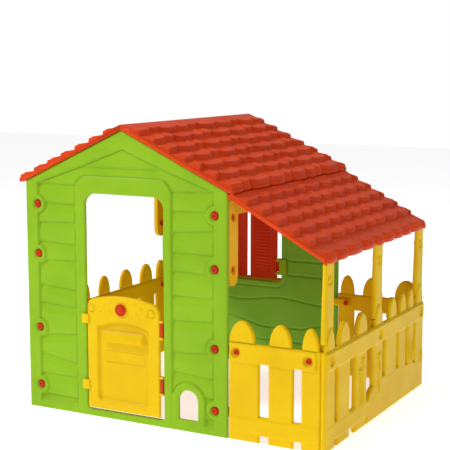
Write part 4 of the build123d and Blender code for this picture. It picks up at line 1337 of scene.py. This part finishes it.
flat_points, shutter_faces = relief(shutter_outline, SHUTTER, SHUTTER_STEP, shutter_in, shutter_out)
right_points = facing_front(flat_points)
shutters = {
    "right": (right_points, shutter_faces),
    "left": (mirrored(right_points), [f[:, ::-1] for f in shutter_faces]),
}
for side, shape in shutters.items():
    body, node = f"{side}_shutter", f"shutter_{side}"
    finish_piece(f"{side}_shutter_louvred", *shape, body, RED_FITTING, (node,))

# %% [markdown]
# ## Shutter barrels
#
# The barrels that turn on the pins are short tubes on the hinge side, each joined to the shutter by a web. A
# tube is a ring of four corners, outer and inner, low and high, carried round the pin.

# %% Shutter barrels
PIN_X, PIN_Y = {"right": 614.0, "left": 296.0}, 1061.0
WEB_X, WEB_Y = {"right": (598.0, 610.0), "left": (300.0, 312.0)}, (1057.0, 1065.0)
BRACKET_Z, BARREL_FROM, BARREL_TO = (427.0, 652.0), 10.5, 60.5
BARREL_R, BORE_R, BARREL_SIDES = 6.0, 3.1, 32
BLOCK = np.array([(0, 2, 3, 1), (4, 5, 7, 6), (0, 1, 5, 4), (2, 6, 7, 3), (0, 4, 6, 2), (1, 3, 7, 5)])


def barrels(side):
    """Two tubes and their webs: rings of points round the pin, and the eight corners of each web."""
    angle = np.linspace(0, 2 * math.pi, BARREL_SIDES, endpoint=False)
    all_points, all_faces, count = [], [], 0
    for bracket_z in BRACKET_Z:
        low, high = bracket_z + BARREL_FROM, bracket_z + BARREL_TO
        walls = ((BARREL_R, low), (BARREL_R, high), (BORE_R, high), (BORE_R, low))
        rings = [(PIN_X[side] + r * np.cos(angle), PIN_Y + r * np.sin(angle), np.full(BARREL_SIDES, h))
                 for r, h in walls]
        index = np.arange(len(walls) * BARREL_SIDES).reshape(len(walls), BARREL_SIDES)
        nxt = np.roll(index, -1, axis=1)
        wall, wall_next = np.roll(index, -1, axis=0), np.roll(nxt, -1, axis=0)
        tube = np.stack([index, nxt, wall_next, wall], -1).reshape(-1, 4)
        web = np.array([(a, b, c) for c in (low, high) for b in WEB_Y for a in WEB_X[side]])
        all_points += [np.concatenate([np.stack(ring, 1) for ring in rings]), web]
        all_faces += [tube + count, BLOCK + count + index.size]
        count += index.size + len(web)
    faces = [np.concatenate(all_faces)]
    name, body = f"{side}_shutter_barrels", f"{side}_shutter"
    finish_piece(name, np.concatenate(all_points), faces, body, RED_FITTING, flat=True)


for side in ("right", "left"):
    barrels(side)

# %% [markdown]
# ## Planter
#
# A trough with thin walls, a rolled rim and a tapered body. Its wall is a profile of insets and heights
# carried round a rounded rectangle: up the outside, over the rim and down the inside.

# %% Planter
PLANTER_SIDES, PLANTER_R, TIGHTEST_R, CORNER_POINTS = (292.0, 618.0, 1050.3, 1112.0), 12.0, 1.5, 7
PLANTER_PROFILE = (
    (30.0, 316.0), (6.0, 316.0), (3.0, 318.5), (1.5, 326.0), (0.6, 384.0), (0.0, 388.0), (0.0, 395.0),
    (1.0, 397.6), (2.6, 398.0), (4.2, 397.0), (4.8, 392.0), (5.4, 384.0), (6.4, 326.0), (8.0, 321.0),
    (30.0, 320.5),
)


def rounded_loop(left, right, near, far, inset, count):
    """Points round a rectangle with round corners, pushed in by inset: a quarter circle at each corner."""
    radius = max(PLANTER_R - inset, TIGHTEST_R)
    x0, x1 = left + inset + radius, right - inset - radius
    y0, y1 = near + inset + radius, far - inset - radius
    loops = []
    for quarter, (cx, cy) in enumerate(((x1, y1), (x0, y1), (x0, y0), (x1, y0))):
        angle = math.pi / 2 * (quarter + np.linspace(0, 1, count))
        loops.append(np.stack([cx + radius * np.cos(angle), cy + radius * np.sin(angle)], 1))
    return np.concatenate(loops)


loops = [rounded_loop(*PLANTER_SIDES, inset, CORNER_POINTS) for inset, _ in PLANTER_PROFILE]
rings = [np.column_stack([loop, np.full(len(loop), z)]) for loop, (_, z) in zip(loops, PLANTER_PROFILE)]
planter = np.stack(rings)
finish_piece(
    "window_planter_moulded", planter.reshape(-1, 3), skin(planter, False), "house", YELLOW_PANEL,
    ("window_planter",),
)

# %% [markdown]
# ## Floor
#
# The house stands on a pale matt sheet. The sheet glows a little, so that it stays nearly white and the
# shadow on it is light, as under many lamps.

# %% Floor
FLOOR_REACH = 14.0
floor_mesh = bpy.data.meshes.new("pale_floor")
corners = [(x * FLOOR_REACH, y * FLOOR_REACH, 0) for x, y in ((-1, -1), (1, -1), (1, 1), (-1, 1))]
floor_mesh.from_pydata(corners, [], [(0, 1, 2, 3)])
floor = bpy.data.objects.new("pale_floor", floor_mesh)
bpy.context.scene.collection.objects.link(floor)
# coated paper: white and quite matt, so nothing is mirrored in it
paper = bpy.data.materials.new("matt_white_paper")
paper.use_nodes = True
paper_surface = paper.node_tree.nodes["Principled BSDF"]
paper_surface.inputs["Base Color"].default_value = linear("#FCFCFB")
paper_surface.inputs["Roughness"].default_value = 0.9
paper_surface.inputs["Emission Color"].default_value = linear("#FFFFFF")
paper_surface.inputs["Emission Strength"].default_value = 0.64
floor_mesh.materials.append(paper)
print("floor", 2 * FLOOR_REACH, "m square")

# %% [markdown]
# ## Light
#
# Plastic shows its colour best under large soft lamps, which leave only a broad sheen. The main lamp is up
# and to the left, so the right-hand walls are in soft shade and the planks' steps show faintly. A wide
# lamp overhead fills the roof, and a weak one at the right keeps the porch readable. The sky looks white but
# lights the house less than it looks, or the shade would wash out.

# %% Sky
WHITE = (1.0, 1.0, 1.0, 1.0)
AMBIENT = 0.30
world = bpy.data.worlds.new("soft_sky")
world.use_nodes = True
bpy.context.scene.world = world
sky = world.node_tree
dim = sky.nodes["Background"]
dim.inputs["Color"].default_value = WHITE
dim.inputs["Strength"].default_value = AMBIENT
bright = add(sky, "ShaderNodeBackground", {"Color": WHITE, "Strength": 1.0})
seen = add(sky, "ShaderNodeLightPath").outputs["Is Camera Ray"]
both = add(sky, "ShaderNodeMixShader", (), [(seen, 0), (dim.outputs[0], 1), (bright.outputs[0], 2)])
sky.links.new(both.outputs[0], sky.nodes["World Output"].inputs["Surface"])
bpy.context.scene.view_settings.view_transform = "Standard"
print("the sky lights with", AMBIENT)

# %% Lamps


def lamp(name, place, aim, size, power, in_gloss=True):
    """A square soft lamp at a place in metres that points at another. It may be kept out of reflections."""
    light = bpy.data.lights.new(name, "AREA")
    light.shape = "SQUARE"
    light.size = size
    light.energy = power
    holder = bpy.data.objects.new(name, light)
    x, y, z = (a - b for a, b in zip(aim, place))
    holder.location = place
    holder.visible_glossy = in_gloss
    holder.rotation_euler = (math.pi / 2 + math.atan2(z, math.hypot(x, y)), 0, math.atan2(-x, y))
    bpy.context.scene.collection.objects.link(holder)
    print(name, power, "W")


lamp("key_softbox", (-3.2, -2.9, 4.6), (0, 0, 0.6), 0.6, 168)
lamp("overhead_softbox", (0.2, -0.8, 5.2), (0, 0, 0), 4.5, 76, in_gloss=False)
lamp("low_fill_softbox", (3.9, -3.2, 1.9), (0.2, 0.1, 0.4), 0.9, 18, in_gloss=False)

# %% [markdown]
# ## Camera
#
# The camera stands at the house's front right, a little higher than the ridge, so the front wall, the porch
# and both roofs show at once. The lens is long, so the walls' edges stay nearly parallel.

# %% Camera
CAMERA_PLACE = (2.2644, -4.2662, 1.3918)
LOOK_DOWN, TURN = 0.1389, 0.4947
view = bpy.data.cameras.new("front_right_view")
view.lens = 94.1
view.sensor_width = 36.0
camera = bpy.data.objects.new("front_right_view", view)
camera.location = CAMERA_PLACE
camera.rotation_euler = (math.pi / 2 - LOOK_DOWN, 0, TURN)
bpy.context.scene.collection.objects.link(camera)
bpy.context.scene.camera = camera
print("camera at", CAMERA_PLACE)

# %% [markdown]
# ## Sizes and the end
#
# The number of pieces made and of their triangles is printed at the end. The visual model has to stay
# inside the CAD model's box.

# %% Sizes and the end
print("pieces", len(pieces_made), "triangles", sum(t for _, t in pieces_made))
